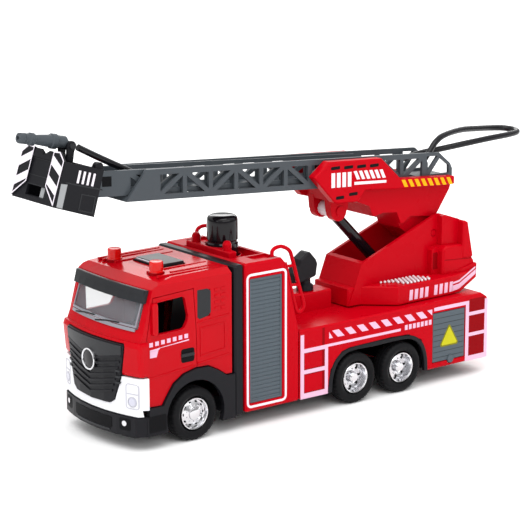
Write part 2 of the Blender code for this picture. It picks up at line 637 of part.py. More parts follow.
def turntable():
    rim = [(-118.5, 22.0), (-103.0, 25.2), (-96.5, 25.8), (-60.0, 26.4), (-46.0, 13.7), (-38.0, 13.2)]
    tub = bevelled(prism("turntable", mirrored(rim), "z", 43.4, 53.0), 0.5)
    side = [(-38.2, 44.0), (-46.5, 64.7), (-95.7, 83.3), (-99.5, 83.6), (-108.7, 80.5), (-112.3, 78.7)]
    side += [(-116.4, 59.0), (-118.3, 57.7), (-118.3, 50.4), (-103.0, 44.0)]
    join(tub, prism("walls", side, "y", -14.0, 14.0))
    heel = [(-99.0, 48.0), (-99.0, 52.9), (-117.4, 56.7), (-118.4, 56.3), (-118.4, 50.0), (-110.0, 48.0)]
    locker = [(-95.2, 48.0), (-95.2, 66.0), (-97.6, 67.8), (-114.7, 66.9), (-116.3, 59.2), (-117.6, 57.6)]
    locker += [(-117.6, 52.0), (-112.0, 48.0)]
    column = [(-108.7, 60.0), (-108.7, 79.6), (-110.4, 79.6), (-112.2, 78.5), (-116.2, 60.0)]
    panel = [(-97.4, 60.0), (-97.4, 83.0), (-99.5, 83.4), (-108.9, 80.3), (-111.0, 78.9), (-114.0, 60.0)]
    step = [(-91.0, 48.0), (-91.0, 66.0), (-92.4, 67.2), (-98.0, 67.2), (-98.0, 48.0)]
    flank = ((heel, 12.5, 21.9, 0.0), (locker, 12.6, 21.2, 0.9), (column, 12.7, 21.8, 0.6), (panel, 12.8, 17.6, 0.0))
    flank += ((step, 12.9, 17.2, 0.0),)
    for outline, inner, outer, edge in flank:
        for hand in (-1, 1):
            lo, hi = sorted((hand * inner, hand * outer))
            mass = prism("flank", outline, "y", lo, hi)
            join(tub, bevelled(mass, edge) if edge else mass)
    rising = [(-103.1, 43.2), (-119.9, 49.6), (-125.0, 49.6), (-125.0, 40.0), (-103.1, 40.0)]
    cut(tub, prism("rising", rising, "y", -40, 40))
    room = [(-48.6, 100), (-48.6, 63.0), (-45.0, 47.0), (-111.0, 47.0), (-111.0, 58.0), (-130, 58.0), (-130, 100)]
    cut(tub, prism("tub_in", room, "y", -12.2, 12.2))
    cut(tub, rod("pin_way", (BOOM_PIVOT[0], -30, BOOM_PIVOT[1]), (BOOM_PIVOT[0], 30, BOOM_PIVOT[1]), 1.95, sides=16))
    join(tub, rod("foot_pin", (STRUT_FOOT[0], -13, STRUT_FOOT[1]), (STRUT_FOOT[0], 13, STRUT_FOOT[1]), 1.2, sides=12))
    join(tub, rod("spigot", (TURN_X, 0, 36.0), (TURN_X, 0, 44.0), 6.1))
    paint(tub, "red")
    pivot(tub, TURN_X, 0, 43.4)
    pin = rod("boom_pin", (BOOM_PIVOT[0], -13.9, BOOM_PIVOT[1]), (BOOM_PIVOT[0], 13.9, BOOM_PIVOT[1]), 1.6, sides=16)
    paint(pin, "steel")


# ---- strut -------------------------------------------------------------------------------------

def strut_point(from_top):
    """Centre line of the strut, a distance down from its upper pin."""
    dx, dz = STRUT_FOOT[0] - STRUT_TOP[0], STRUT_FOOT[1] - STRUT_TOP[1]
    long = math.hypot(dx, dz)
    return (STRUT_TOP[0] + dx * from_top / long, 0.0, STRUT_TOP[1] + dz * from_top / long)


def strut():
    long = math.hypot(STRUT_FOOT[0] - STRUT_TOP[0], STRUT_FOOT[1] - STRUT_TOP[1])
    barrel = rod("strut_barrel", (STRUT_TOP[0], -3.9, STRUT_TOP[1]), (STRUT_TOP[0], 3.9, STRUT_TOP[1]), 3.4)
    join(barrel, rod("sleeve", strut_point(1.0), strut_point(50.0), 2.85))
    cut(barrel, rod("bore", strut_point(8.0), strut_point(60.0), 2.35))
    cut(barrel, rod("eye", (STRUT_TOP[0], -9, STRUT_TOP[1]), (STRUT_TOP[0], 9, STRUT_TOP[1]), 1.5, sides=12))
    paint(barrel, "black")
    pivot(barrel, STRUT_TOP[0], 0, STRUT_TOP[1])
    ram = rod("strut_rod", (STRUT_FOOT[0], -3.0, STRUT_FOOT[1]), (STRUT_FOOT[0], 3.0, STRUT_FOOT[1]), 2.9)
    join(ram, rod("ram", strut_point(long - 1.0), strut_point(long - 47.0), 1.2, sides=12))
    cut(ram, rod("eye", (STRUT_FOOT[0], -9, STRUT_FOOT[1]), (STRUT_FOOT[0], 9, STRUT_FOOT[1]), 1.5, sides=12))
    paint(ram, "steel")
    pivot(ram, STRUT_FOOT[0], 0, STRUT_FOOT[1])


# ---- boom --------------------------------------------------------------------------------------

def carriage():
    px, pz = BOOM_PIVOT
    arm = [(-28.3, base_line(-28.3) - GAP), (-30.5, 97.6), (-43.0, 97.1), (-54.4, 92.6), (-57.0, 86.9), (-64.0, 88.0)]
    arm += [(-73.0, 87.0), (-77.0, 78.0), (-80.5, 75.5), (-87.5, 69.5)] + arc((px, pz), 7.5, -50, -170, 6)
    arm += [(-100.4, 83.0), (-109.0, 95.0), (-110.4, base_line(-110.4) - GAP)]
    body = prism("boom_carriage", arm, "y", -10.2, 10.2)
    waist = [(-70, 60), (-70, 81.0), (-77.5, 81.0), (-82.0, 84.0), (-97.0, 82.0), (-120, 84.0), (-120, 60)]
    for hand in (-1, 1):
        lo, hi = sorted((hand * 8.4, hand * 20.0))
        cut(body, prism("waist", waist, "y", lo, hi))
    plate = [(-14.6, 112.3), (-23.9, 119.2), (-58.2, 117.2), (-70.3, 106.2), (-71.4, 105.3), (-108.3, 102.4)]
    plate += [(-108.3, 98.2), (-69.2, 100.3), (-47.8, 102.3), (-43.0, 97.1), (-30.5, 97.6), (-27.7, 98.3)]
    for hand in (-1, 1):
        lo, hi = sorted((hand * 10.0, hand * 15.0))
        side = bevelled(prism("plate", plate, "y", lo, hi), 0.5)
        join(body, side)
    space = [(0, base_line(0) - GAP), (0, 130), (-120, 130), (-120, base_line(-120) - GAP)]
    cut(body, prism("ladder_way", space, "y", -10.35, 10.35))
    cheek = [(-29.8, 99.5), (-30.6, 92.0)] + arc((-35.8, 91.9), 4.9, 0, -180, 8) + [(-41.2, 92.0), (-42.4, 99.0)]
    for hand in (-1, 1):
        lo, hi = sorted((hand * 4.3, hand * 8.6))
        join(body, prism("cheek", cheek, "y", lo, hi))
    top = STRUT_TOP
    join(body, rod("top_pin", (top[0], -5.0, top[1]), (top[0], 5.0, top[1]), 1.2, sides=12))
    cut(body, rod("pin_way", (px, -20, pz), (px, 20, pz), 1.95, sides=16))
    paint(body, "red")
    pivot(body, px, 0, pz)


def truss_windows(line, depth, first, last, rail):
    """The triangles between the uprights and the alternating diagonals."""
    windows = []
    count = int(round((FIRST_UPRIGHT - last) / BAY))
    start = int(round((FIRST_UPRIGHT - first) / BAY))
    for k in range(start, count):
        front, rear = FIRST_UPRIGHT - k * BAY, FIRST_UPRIGHT - (k + 1) * BAY
        high = rail - 1.1
        corners = {
            "ft": (front, line(front) + depth - high),
            "fb": (front, line(front) + high),
            "rt": (rear, line(rear) + depth - high),
            "rb": (rear, line(rear) + high),
        }
        split = (("ft", "fb", "rt"), ("fb", "rb", "rt")) if k % 2 == 0 else (("ft", "fb", "rb"), ("ft", "rb", "rt"))
        for names in split:
            windows.append(inset([corners[n] for n in names], 1.15))
    return windows


def base_ladder():
    outline = [(81.0, top_line(81.0)), (92.5, base_line(92.5)), (-110.9, base_line(-110.9)), (-110.9, 105.5)]
    outline += [(-109.4, 108.3), (-101.6, top_line(-101.6))]
    windows = truss_windows(base_line, BASE_DEPTH, 74.4, -91.0, 2.6)
    windows.append([(-93.2, 113.5), (-100.6, 113.0), (-93.2, 104.8)])
    windows.append([(-95.2, 104.0), (-108.5, 103.4), (-108.4, 107.4), (-102.4, 112.0)])
    ladder = prism("base_ladder", [outline] + windows, "y", -BASE_HALF, BASE_HALF)
    channel = [(110, base_line(110) + 2.2), (110, 150), (-130, 150), (-130, base_line(-130) + 2.2)]
    cut(ladder, prism("channel", channel, "y", -8.4, 8.4))
    slots = None
    for k in range(0, 11):
        rear = FIRST_UPRIGHT - (k + 1) * BAY
        slot = block("slot", (rear + 2.0, -6.4, 90), (rear + BAY - 2.0, 6.4, base_line(rear) + 8.0))
        slots = slot if slots is None else join(slots, slot)
    cut(ladder, slots)
    paint(ladder, "grey")


def fly_ladder():
    outline = [(105.0, top_line(105.0)), (106.2, 126.0), (108.4, 122.6), (108.4, 119.4), (106.0, fly_line(106.0))]
    outline += [(-58.0, fly_line(-58.0)), (-58.0, top_line(-58.0) - 1.0)]
    windows = truss_windows(fly_line, FLY_DEPTH, 89.45, -46.0, 2.4)
    ladder = prism("fly_ladder", [outline] + windows, "y", -FLY_HALF, FLY_HALF)
    channel = [(120, fly_line(120) + 1.6), (120, 150), (-70, 150), (-70, fly_line(-70) + 1.6)]
    cut(ladder, prism("channel", channel, "y", -6.1, 6.1))
    cut(ladder, block("hinge_way", (97.5, -6.1, 100), (120, 6.1, 130)))
    x, z = BASKET_PIVOT
    join(ladder, rod("basket_pin", (x, -7.0, z), (x, 7.0, z), 1.2, sides=12))
    paint(ladder, "grey")
    pivot(ladder, 105.0, 0, 121.0)


# ---- basket and nozzle -------------------------------------------------------------------------

def basket():
    foot, sill = (115.3, 110.4), (136.3, 117.4)
    side = [foot, sill, (129.6, 137.2), (109.4, 131.2)]
    shell = prism("basket", side, "y", -17.7, 17.7)
    inner = inset(side, 1.4)
    up = Vector((109.4 - 115.3, 131.2 - 110.4)).normalized() * 12
    lifted = [inner[0], inner[1], (inner[2][0] + up.x, inner[2][1] + up.y), (inner[3][0] + up.x, inner[3][1] + up.y)]
    cut(shell, prism("basket_in", lifted, "y", -16.3, 16.3))
    panel = [(129.0, 136.0), (130.6, 136.4), (128.9, 140.2), (127.7, 139.9)]
    join(shell, prism("panel_top", panel, "y", -13.5, 13.5))
    cut(shell, prism("front_notch", [(5.2, 141.0), (0.0, 138.0), (-5.2, 141.0)], "x", 125.0, 145.0))
    cut(shell, block("front_hatch", (130.0, -7.4, 119.6), (145.0, 7.4, 124.4)))
    x, z = BASKET_PIVOT
    lug = [(113.0, 118.2), (111.4, 124.6)] + arc((x, z), 2.9, 100, 260, 8)
    join(shell, prism("lug", lug, "y", -4.6, 4.6))
    cut(shell, rod("lug_bore", (x, -9, z), (x, 9, z), 1.5, sides=12))
    paint(shell, "black")
    pivot(shell, x, 0, z)

    px, pz = NOZZLE_PIN
    yoke = [(110.2, 131.9), (120.2, 134.9), (119.9, 136.2)] + arc((px, pz), 2.5, -20, 200, 8) + [(109.9, 133.2)]
    frame = prism("nozzle_yoke", yoke, "y", -4.3, 4.3)
    cut(frame, prism("yoke_in", [(100, 130.9), (130, 139.8), (130, 150), (100, 150)], "y", -2.75, 2.75))
    join(frame, rod("yoke_pin", (px, -3.5, pz), (px, 3.5, pz), 0.9, sides=10))
    paint(frame, "black")


def nozzle():
    tilt = math.radians(10.6)
    px, pz = NOZZLE_PIN
    head = (px + 40 * math.cos(tilt), 0, pz + 40 * math.sin(tilt) + 1.2)
    foot = (px, 0, pz + 1.2)
    profile = [(0, 26.0), (1.0, 26.0), (2.1, 26.2), (2.5, 25.4), (2.7, 20.0), (2.3, 19.0), (3.0, 8.6)]
    profile += [(3.4, 8.0), (3.4, 6.4), (2.4, 5.0), (2.3, 1.0), (0, 1.0)]
    gun = turned("nozzle", profile, foot, head, 18)
    join(gun, rod("knuckle", (px, -2.4, pz), (px, 2.4, pz), 2.7, sides=16))
    cut(gun, rod("pin_bore", (px, -9, pz), (px, 9, pz), 1.2, sides=10))
    tip = Vector(head) - Vector(foot)
    tip.normalize()
    mouth = Vector(foot) + tip * 27.0
    throat = Vector(foot) + tip * 22.0
    cut(gun, rod("bore", tuple(throat), tuple(mouth), 1.0, sides=12))
    paint(gun, "grey")
    pivot(gun, px, 0, pz)


# ---- hoses -------------------------------------------------------------------------------------

def smooth_line(knots, steps):
    """A Catmull-Rom curve through the knots."""
    line = []
    padded = [knots[0]] + list(knots) + [knots[-1]]
    for i in range(1, len(padded) - 2):
        p0, p1, p2, p3 = (Vector(p) for p in padded[i - 1:i + 3])
        for s in range(steps):
            t = s / steps
            a = 2 * p1 + (p2 - p0) * t
            b = (2 * p0 - 5 * p1 + 4 * p2 - p3) * t * t
            c = (3 * p1 - p0 - 3 * p2 + p3) * t * t * t
            line.append(tuple((a + b + c) / 2))
    line.append(tuple(knots[-1]))
    return line


HOSE_LOOP = [(-96.0, 4.6, 110.4), (-100.5, 4.5, 115.2), (-105.0, 4.0, 119.3), (-112.5, 2.2, 121.6)]
HOSE_LOOP += [(-128.3, -2.4, 122.0), (-145.0, -6.4, 120.5), (-156.0, -8.3, 119.4), (-163.6, -6.8, 118.8)]
HOSE_LOOP += [(-166.2, -1.2, 118.4), (-162.6, 4.6, 118.2), (-153.0, 7.2, 118.1), (-138.6, 7.4, 117.6)]
HOSE_LOOP += [(-123.6, 4.6, 116.0), (-111.5, 0.6, 114.2), (-101.1, -3.4, 112.6), (-90.0, -4.2, 110.9)]
HOSE_ROOT = (-97.0, 0, 111.0)
HOSE_RUN = [(111.7, 0, 139.3), (107.0, 0, 136.8), (99.8, 0, 133.1), (92.0, 0, 129.2), (84.5, 0, 125.5), (78.0, 0, 121.8)]


def hoses():
    loop = paint(tube("hose_loop", smooth_line(HOSE_LOOP, 3), HOSE_R), "rubber")
    pivot(loop, *HOSE_ROOT)
    paint(tube("hose_run", smooth_line(HOSE_RUN, 2), HOSE_R), "rubber")


chassis()
cab()
cab_front()
bumpers()
cab_inside()
doors()
roof_pieces()
divider()
pump_box()
ladder_rest()
pump()
grab_ladders()
rear_body()
wheels()
deck_monitor()
turntable()
strut()
carriage()
base_ladder()
fly_ladder()
basket()
nozzle()
hoses()
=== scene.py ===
"""Looks of the toy fire engine: surfaces, prints, mouldings, wheels, hoses and studio.

Places are stations in millimetres, as in the model: x forward (front axle at 70), y left, z up.
"""
import math

import bmesh
import bpy
from mathutils import Matrix, Quaternion, Vector

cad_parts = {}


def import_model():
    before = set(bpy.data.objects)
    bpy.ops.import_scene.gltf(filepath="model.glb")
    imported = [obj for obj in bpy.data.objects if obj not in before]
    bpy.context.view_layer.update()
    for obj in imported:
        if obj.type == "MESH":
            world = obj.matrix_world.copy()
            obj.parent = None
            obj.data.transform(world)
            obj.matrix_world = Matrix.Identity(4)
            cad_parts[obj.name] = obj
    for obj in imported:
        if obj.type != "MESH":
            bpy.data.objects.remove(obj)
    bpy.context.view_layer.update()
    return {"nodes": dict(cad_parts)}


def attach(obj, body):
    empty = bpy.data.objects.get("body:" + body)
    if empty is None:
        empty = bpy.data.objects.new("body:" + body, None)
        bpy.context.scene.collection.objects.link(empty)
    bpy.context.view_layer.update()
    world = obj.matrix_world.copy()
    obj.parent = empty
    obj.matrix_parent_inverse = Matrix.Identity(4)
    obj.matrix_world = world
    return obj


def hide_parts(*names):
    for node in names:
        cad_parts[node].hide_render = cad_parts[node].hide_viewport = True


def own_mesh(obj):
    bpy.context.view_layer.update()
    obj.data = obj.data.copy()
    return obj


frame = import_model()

MM = 0.001
MIDDLE = 12.0667  # station that lies at the frame's x = 0
SIDES = ((1, "left"), (-1, "right"))

BODY_SIDE = 32.0  # outer faces
CAB_SIDE = 30.5
FLAP_SIDE = 31.8
PLATE_SIDE = 15.0
BASKET_SIDE = 17.7
NOSE_X = 107.0
SUNK = 0.05  # how deep a print or trim is set into its face
PRINT = 0.12  # how far a print stands proud

WHEEL_R = 12.9
AXLES = (("front", 70.0, 31.6), ("mid", -27.4, 33.1), ("rear", -57.55, 33.1))
BUTTON = (30.3, 0.0)
ROOF_TOP = 80.0
SLAT_PITCH = 1.96  # from one shutter slat to the next
STRUT_PIN = (-36.5, 92.0)
NOZZLE_PIN = (117.4, 141.0)
NOZZLE_TILT = math.radians(10.6)
HOSE_D = 3.2

scene = bpy.context.scene


def world(x, y, z):
    """A station point in metres."""
    return Vector(((x - MIDDLE) * MM, y * MM, z * MM))


# ---- materials ---------------------------------------------------------------------------------

def surface(name, colour, rough, metal=0.0, spec=0.2, grain=0.04, fine=900.0, mottle=0.06, **sockets):
    """A moulded or painted surface: slight mottling, uneven gloss and a fine grain."""
    material = bpy.data.materials.new(name)
    material.use_nodes = True
    nodes, links = material.node_tree.nodes, material.node_tree.links
    shader = nodes["Principled BSDF"]
    shader.inputs["Metallic"].default_value = metal
    shader.inputs["Specular IOR Level"].default_value = spec
    shader.inputs["Coat Roughness"].default_value = 0.05
    for socket, value in sockets.items():
        shader.inputs[socket.replace("_", " ")].default_value = value
    place = nodes.new("ShaderNodeTexCoord")
    cloud = nodes.new("ShaderNodeTexNoise")
    cloud.inputs["Scale"].default_value = 60.0
    cloud.inputs["Detail"].default_value = 3.0
    links.new(place.outputs["Object"], cloud.inputs["Vector"])
    tint = nodes.new("ShaderNodeMix")
    tint.data_type = "RGBA"
    tint.inputs["A"].default_value = (*[c * (1.0 - mottle) for c in colour], 1.0)
    tint.inputs["B"].default_value = (*[min(1.0, c * (1.0 + mottle)) for c in colour], 1.0)
    links.new(cloud.outputs["Fac"], tint.inputs["Factor"])
    links.new(tint.outputs["Result"], shader.inputs["Base Color"])
    gloss = nodes.new("ShaderNodeMapRange")
    gloss.inputs["To Min"].default_value = max(0.0, rough - 0.05)
    gloss.inputs["To Max"].default_value = rough + 0.05
    links.new(cloud.outputs["Fac"], gloss.inputs["Value"])
    links.new(gloss.outputs["Result"], shader.inputs["Roughness"])
    specks = nodes.new("ShaderNodeTexNoise")
    specks.inputs["Scale"].default_value = fine
    specks.inputs["Detail"].default_value = 2.0
    links.new(place.outputs["Object"], specks.inputs["Vector"])
    bump = nodes.new("ShaderNodeBump")
    bump.inputs["Strength"].default_value = grain
    bump.inputs["Distance"].default_value = 0.0002
    links.new(specks.outputs["Fac"], bump.inputs["Height"])
    links.new(bump.outputs["Normal"], shader.inputs["Normal"])
    return material


RED_PAINT = surface("red_paint", (0.50, 0.0004, 0.006), 0.2, spec=0.08, grain=0.012, Coat_Weight=0.06)
RED = surface("red_plastic", (0.50, 0.0004, 0.007), 0.28, spec=0.045, grain=0.03)
# Darker red: painted shade in the step grooves, panels and lips and in the tub's step recess; also the
# colour of the locker seam and the beacons' core and foot.
DEEP_RED_AND_SHADE = surface("deep_red_and_painted_shade", (0.26, 0.0003, 0.003), 0.45, spec=0.05)
WHITE = surface("white_plastic", (0.80, 0.80, 0.83), 0.3, grain=0.02, mottle=0.02)
# Grey: painted shade along the headlamp surrounds, across their crease and round their lenses.
WHITE_PAINTED_SHADE = surface("headlamp_painted_shade", (0.50, 0.50, 0.56), 0.3)
PRINT_PINK = surface("pink_print", (0.80, 0.50, 0.66), 0.4, spec=0.1, grain=0.02, mottle=0.03)
PRINT_WHITE = surface("white_print", (0.86, 0.80, 0.87), 0.4, spec=0.1, grain=0.02, mottle=0.03)
BAR_WHITE = surface("white_bars", (0.74, 0.74, 0.78), 0.35, grain=0.02, mottle=0.03)
BLACK = surface("black_plastic", (0.0085, 0.0085, 0.011), 0.4, spec=0.15, grain=0.08)
GLOSS_BLACK = surface("gloss_black", (0.005, 0.004, 0.006), 0.12, spec=0.3, grain=0.01)
CHARCOAL = surface("charcoal_plastic", (0.017, 0.018, 0.021), 0.35, spec=0.25, grain=0.06)
# Near black: painted shade in holes, pockets, slots, recesses and gaps.
RECESS_SHADE = surface("painted_recess_shade", (0.004, 0.004, 0.005), 0.6, spec=0.1)
GREY = surface("ladder_grey", (0.062, 0.072, 0.082), 0.34, grain=0.07)
# Dark grey: painted shade lines under the flap ribs.
GREY_PAINTED_SHADE = surface("rib_painted_shade", (0.035, 0.045, 0.052), 0.5)
SHUTTER = surface("shutter_grey", (0.082, 0.104, 0.122), 0.4, grain=0.05)
PALE_GREY = surface("pale_grey", (0.33, 0.34, 0.35), 0.4, grain=0.03)
YELLOW = surface("yellow_print", (0.86, 0.44, 0.003), 0.4, spec=0.1, grain=0.02)
SIGN_YELLOW = surface("sign_yellow", (0.55, 0.52, 0.004), 0.4, grain=0.02)
SIGN_BORDER = surface("sign_border", (0.20, 0.19, 0.004), 0.45, grain=0.02)
CHROME = surface("chrome_plate", (0.72, 0.72, 0.74), 0.12, metal=1.0, grain=0.01, mottle=0.02)
SILVER = surface("silver_paint", (0.42, 0.42, 0.47), 0.3, metal=0.7, grain=0.02)
STEEL = surface("steel", (0.60, 0.60, 0.62), 0.24, metal=1.0, grain=0.03)
RUBBER = surface("tyre_rubber", (0.006, 0.006, 0.007), 0.55, spec=0.12, grain=0.2, fine=1500.0)
HOSE = surface("hose_rubber", (0.004, 0.004, 0.006), 0.26, spec=0.3, grain=0.05)
LENS_RED = surface("red_lens", (0.85, 0.002, 0.001), 0.1, spec=0.25, grain=0.01, Transmission_Weight=0.25)
LILAC = surface("lamp_lens", (0.58, 0.58, 0.68), 0.12, spec=0.5, grain=0.01)
CLEAR = surface("clear_plastic", (0.30, 0.30, 0.33), 0.04, spec=0.6, grain=0.0, mottle=0.0, Alpha=0.3)
PAPER = surface("floor_paper", (0.94, 0.94, 0.94), 0.9, spec=0.0, grain=0.0, mottle=0.0)


def paint(obj, material):
    obj.data.materials.clear()
    obj.data.materials.append(material)
    return obj


def soften(obj, width, segments=2, angle=40):
    """Round a piece's edges."""
    bevel = obj.modifiers.new("soft_edges", "BEVEL")
    bevel.width = width * MM
    bevel.segments = segments
    bevel.limit_method = "ANGLE"
    bevel.angle_limit = math.radians(angle)
    return obj


def smooth(obj, angle=35):
    obj.data.shade_smooth()
    obj.data.set_sharp_from_angle(angle=math.radians(angle))
    return obj


# ---- shapes ------------------------------------------------------------------------------------

def adopt(name, data, material, body):
    """Put new geometry in the scene, on the body it moves with."""
    data.materials.append(material)
    obj = bpy.data.objects.new(name, data)
    scene.collection.objects.link(obj)
    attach(obj, body)
    return obj


TOP_PLANE = Matrix.Translation((-MIDDLE * MM, 0, 0))
SIDE_PLANE = TOP_PLANE @ Matrix.Rotation(math.pi / 2, 4, "X") @ Matrix.Scale(-1, 4, (0, 0, 1))
FRONT_PLANE = Matrix(((0, 0, 1, -MIDDLE * MM), (1, 0, 0, 0), (0, 1, 0, 0), (0, 0, 0, 1)))

BASKET_SILL = Vector((136.3, 0.0, 117.4))
BASKET_UP = (Vector((129.6, 0.0, 137.2)) - BASKET_SILL).normalized()
BASKET_FRONT = Matrix((
    (0, BASKET_UP.x, BASKET_UP.z, (BASKET_SILL.x - MIDDLE) * MM),
    (1, 0, 0, 0),
    (0, BASKET_UP.z, -BASKET_UP.x, BASKET_SILL.z * MM),
    (0, 0, 0, 1),
))


def flat(name, shapes, plane, lo, hi, material, body, edge=0.0):
    """Flat shapes with straight edges, made solid from lo to hi off their plane.

    A shape is an outline, or a pair of an outline and a hole with as many points.
    """
    bm = bmesh.new()
    for shape in shapes:
        pair = shape if isinstance(shape, tuple) else (shape,)
        rings = []
        for outline in pair:
            for depth in (lo, hi):
                rings.append([bm.verts.new((u * MM, v * MM, depth * MM)) for u, v in outline])
        count = len(pair[0])
        walls = [(rings[0], rings[1])]
        if len(pair) == 1:
            bm.faces.new(rings[0])
            bm.faces.new(rings[1])
        else:
            walls += [(rings[2], rings[3]), (rings[0], rings[2]), (rings[1], rings[3])]
        for one, other in walls:
            for i in range(count):
                j = (i + 1) % count
                bm.faces.new((one[i], one[j], other[j], other[i]))
    bmesh.ops.recalc_face_normals(bm, faces=bm.faces)
    mesh = bpy.data.meshes.new(name)
    bm.to_mesh(mesh)
    bm.free()
    mesh.transform(plane)
    if plane.determinant() < 0:
        mesh.flip_normals()
    obj = adopt(name, mesh, material, body)
    if edge:
        soften(obj, edge)
    return obj


def on_side(name, shapes, face, proud, material, body, edge=0.0, sunk=SUNK):
    """The same flat shapes on the left and right faces; a body name with {} takes the side's name."""
    made = []
    for side, word in SIDES:
        lo, hi = sorted((side * (face - sunk), side * (face + proud)))
        made.append(flat(f"{name}_{word}", shapes, SIDE_PLANE, lo, hi, material, body.format(word), edge))
    return made


def on_nose(name, shapes, lo, hi, material, edge=0.0):
    """Flat shapes on the bowed nose; lo and hi are stations on the centre line."""
    return bowed(flat(name, shapes, FRONT_PLANE, lo, hi, material, "body", edge))


def slab(name, lo, hi, material, body, edge=0.3):
    """A rectangular moulding with rounded edges."""
    return flat(name, [rect(lo[0], lo[2], hi[0], hi[2])], SIDE_PLANE, lo[1], hi[1], material, body, edge)


def lathe(name, profile, foot, head, material, body, steps=72, ripple=None, angle=30):
    """A turned piece, (radius, height) pairs from axis to axis; ripple changes the radius round it."""
    bm = bmesh.new()
    rings = []
    for step in range(steps):
        turn = 2 * math.pi * step / steps
        ring = []
        for index, (r, h) in enumerate(profile):
            shown = r if ripple is None else ripple(index, step, r)
            ring.append(bm.verts.new((shown * MM * math.cos(turn), shown * MM * math.sin(turn), h * MM)))
        rings.append(ring)
    closed = profile[0][0] > 0
    spans = len(profile) if closed else len(profile) - 1
    for step in range(steps):
        here, after = rings[step], rings[(step + 1) % steps]
        for i in range(spans):
            j = (i + 1) % len(profile)
            bm.faces.new((here[i], after[i], after[j], here[j]))
    bmesh.ops.remove_doubles(bm, verts=bm.verts, dist=1e-7)
    bmesh.ops.dissolve_degenerate(bm, dist=1e-7, edges=bm.edges)
    bmesh.ops.recalc_face_normals(bm, faces=bm.faces)
    mesh = bpy.data.meshes.new(name)
    bm.to_mesh(mesh)
    bm.free()
    start, end = world(*foot), world(*head)
    turn = (end - start).to_track_quat("Z", "Y").to_matrix().to_4x4()
    mesh.transform(Matrix.Translation(start) @ turn)
    return smooth(adopt(name, mesh, material, body), angle)


def bar(name, points, r, material, body, closed=False):
    """A round bar, wire or hose through stations."""
    curve = bpy.data.curves.new(name, "CURVE")
    curve.dimensions = "3D"
    curve.bevel_depth = r * MM
    curve.bevel_resolution = 4
    curve.use_fill_caps = True
    spline = curve.splines.new("POLY")
    spline.points.add(len(points) - 1)
    spline.use_cyclic_u = closed
    for point, station in zip(spline.points, points):
        point.co = (*world(*station), 1.0)
    return adopt(name, curve, material, body)


def as_mesh(obj):
    """The same piece as a mesh, which can be pressed flat."""
    bpy.context.view_layer.update()
    solid = bpy.data.meshes.new_from_object(obj.evaluated_get(bpy.context.evaluated_depsgraph_get()))
    name = obj.name
    copy = bpy.data.objects.new(name + "_solid", solid)
    scene.collection.objects.link(copy)
    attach(copy, "body")
    bpy.data.objects.remove(obj)
    return copy


def arc(centre, r, start, stop, count):
    points = []
    for i in range(count + 1):
        angle = math.radians(start + (stop - start) * i / count)
        points.append((centre[0] + r * math.cos(angle), centre[1] + r * math.sin(angle)))
    return points


def ring(centre, r, count=24):
    return arc(centre, r, 0, 360 - 360 / count, count - 1)


def rect(x0, z0, x1, z1):
    return [(x0, z0), (x1, z0), (x1, z1), (x0, z1)]


def rounded(x0, z0, x1, z1, r, count=4):
    """A rectangle with round corners."""
    points = arc((x1 - r, z1 - r), r, 0, 90, count) + arc((x0 + r, z1 - r), r, 90, 180, count)
    return points + arc((x0 + r, z0 + r), r, 180, 270, count) + arc((x1 - r, z0 + r), r, 270, 360, count)


def border(x0, z0, x1, z1, r, width):
    """A rounded rectangle's outline and the hole inside it."""
    inner = rounded(x0 + width, z0 + width, x1 - width, z1 - width, max(r - width, 0.1))
    return (rounded(x0, z0, x1, z1, r), inner)


def slanted(front, top, wide, lean, tall):
    """A parallelogram whose foot lies behind its head."""
    foot = front - lean
    return [(front, top), (front - wide, top), (foot - wide, top - tall), (foot, top - tall)]


def swept(x, y, z):
    """How far the nose has swept back at this place."""
    strength = 0.0061 - 0.0044 * min(max((z - 40.0) / 36.0, 0.0), 1.0)
    return strength * y * y * min(max((x - 89.0) / 6.0, 0.0), 1.0)


BOW_CUTS = 12  # on each side of the middle
BOW_GAP = 2.5


def bowed(obj):
    """Bend a piece of the front to the nose's curved plan."""
    bm = bmesh.new()
    bm.from_mesh(obj.data)
    for i in range(-BOW_CUTS, BOW_CUTS + 1):
        everything = bm.verts[:] + bm.edges[:] + bm.faces[:]
        plane = (0, BOW_GAP * i * MM, 0)
        bmesh.ops.bisect_plane(bm, geom=everything, dist=1e-6, plane_co=plane, plane_no=(0, 1, 0))
    for vert in bm.verts:
        vert.co.x -= swept(vert.co.x / MM + MIDDLE, vert.co.y / MM, vert.co.z / MM) * MM
    bmesh.ops.triangulate(bm, faces=bm.faces)
    bm.to_mesh(obj.data)
    bm.free()
    return smooth(obj, 30)


def smooth_line(knots, steps):
    """A Catmull-Rom curve through the knots."""
    line = []
    padded = [knots[0]] + list(knots) + [knots[-1]]
    for i in range(1, len(padded) - 2):
        p0, p1, p2, p3 = (Vector(p) for p in padded[i - 1:i + 3])
        for s in range(steps):
            t = s / steps
            a = 2 * p1 + (p2 - p0) * t
            b = (2 * p0 - 5 * p1 + 4 * p2 - p3) * t * t
            c = (3 * p1 - p0 - 3 * p2 + p3) * t * t * t
            line.append(tuple((a + b + c) / 2))
    line.append(tuple(knots[-1]))
    return line


# ---- camera ------------------------------------------------------------------------------------

def camera():
    data = bpy.data.cameras.new("camera")
    data.lens = 142.06
    data.sensor_width = 36.0
    cam = bpy.data.objects.new("camera", data)
    scene.collection.objects.link(cam)
    cam.location = world(609.4, 772.4, 299.85)
    look = world(7.35, 0, 71.92) - cam.location
    cam.rotation_mode = "QUATERNION"
    cam.rotation_quaternion = look.to_track_quat("-Z", "Y") @ Quaternion((0, 0, 1), math.radians(-0.12))
    data.clip_start = 0.05
    data.clip_end = 20.0
    scene.camera = cam


# ---- hoses -------------------------------------------------------------------------------------

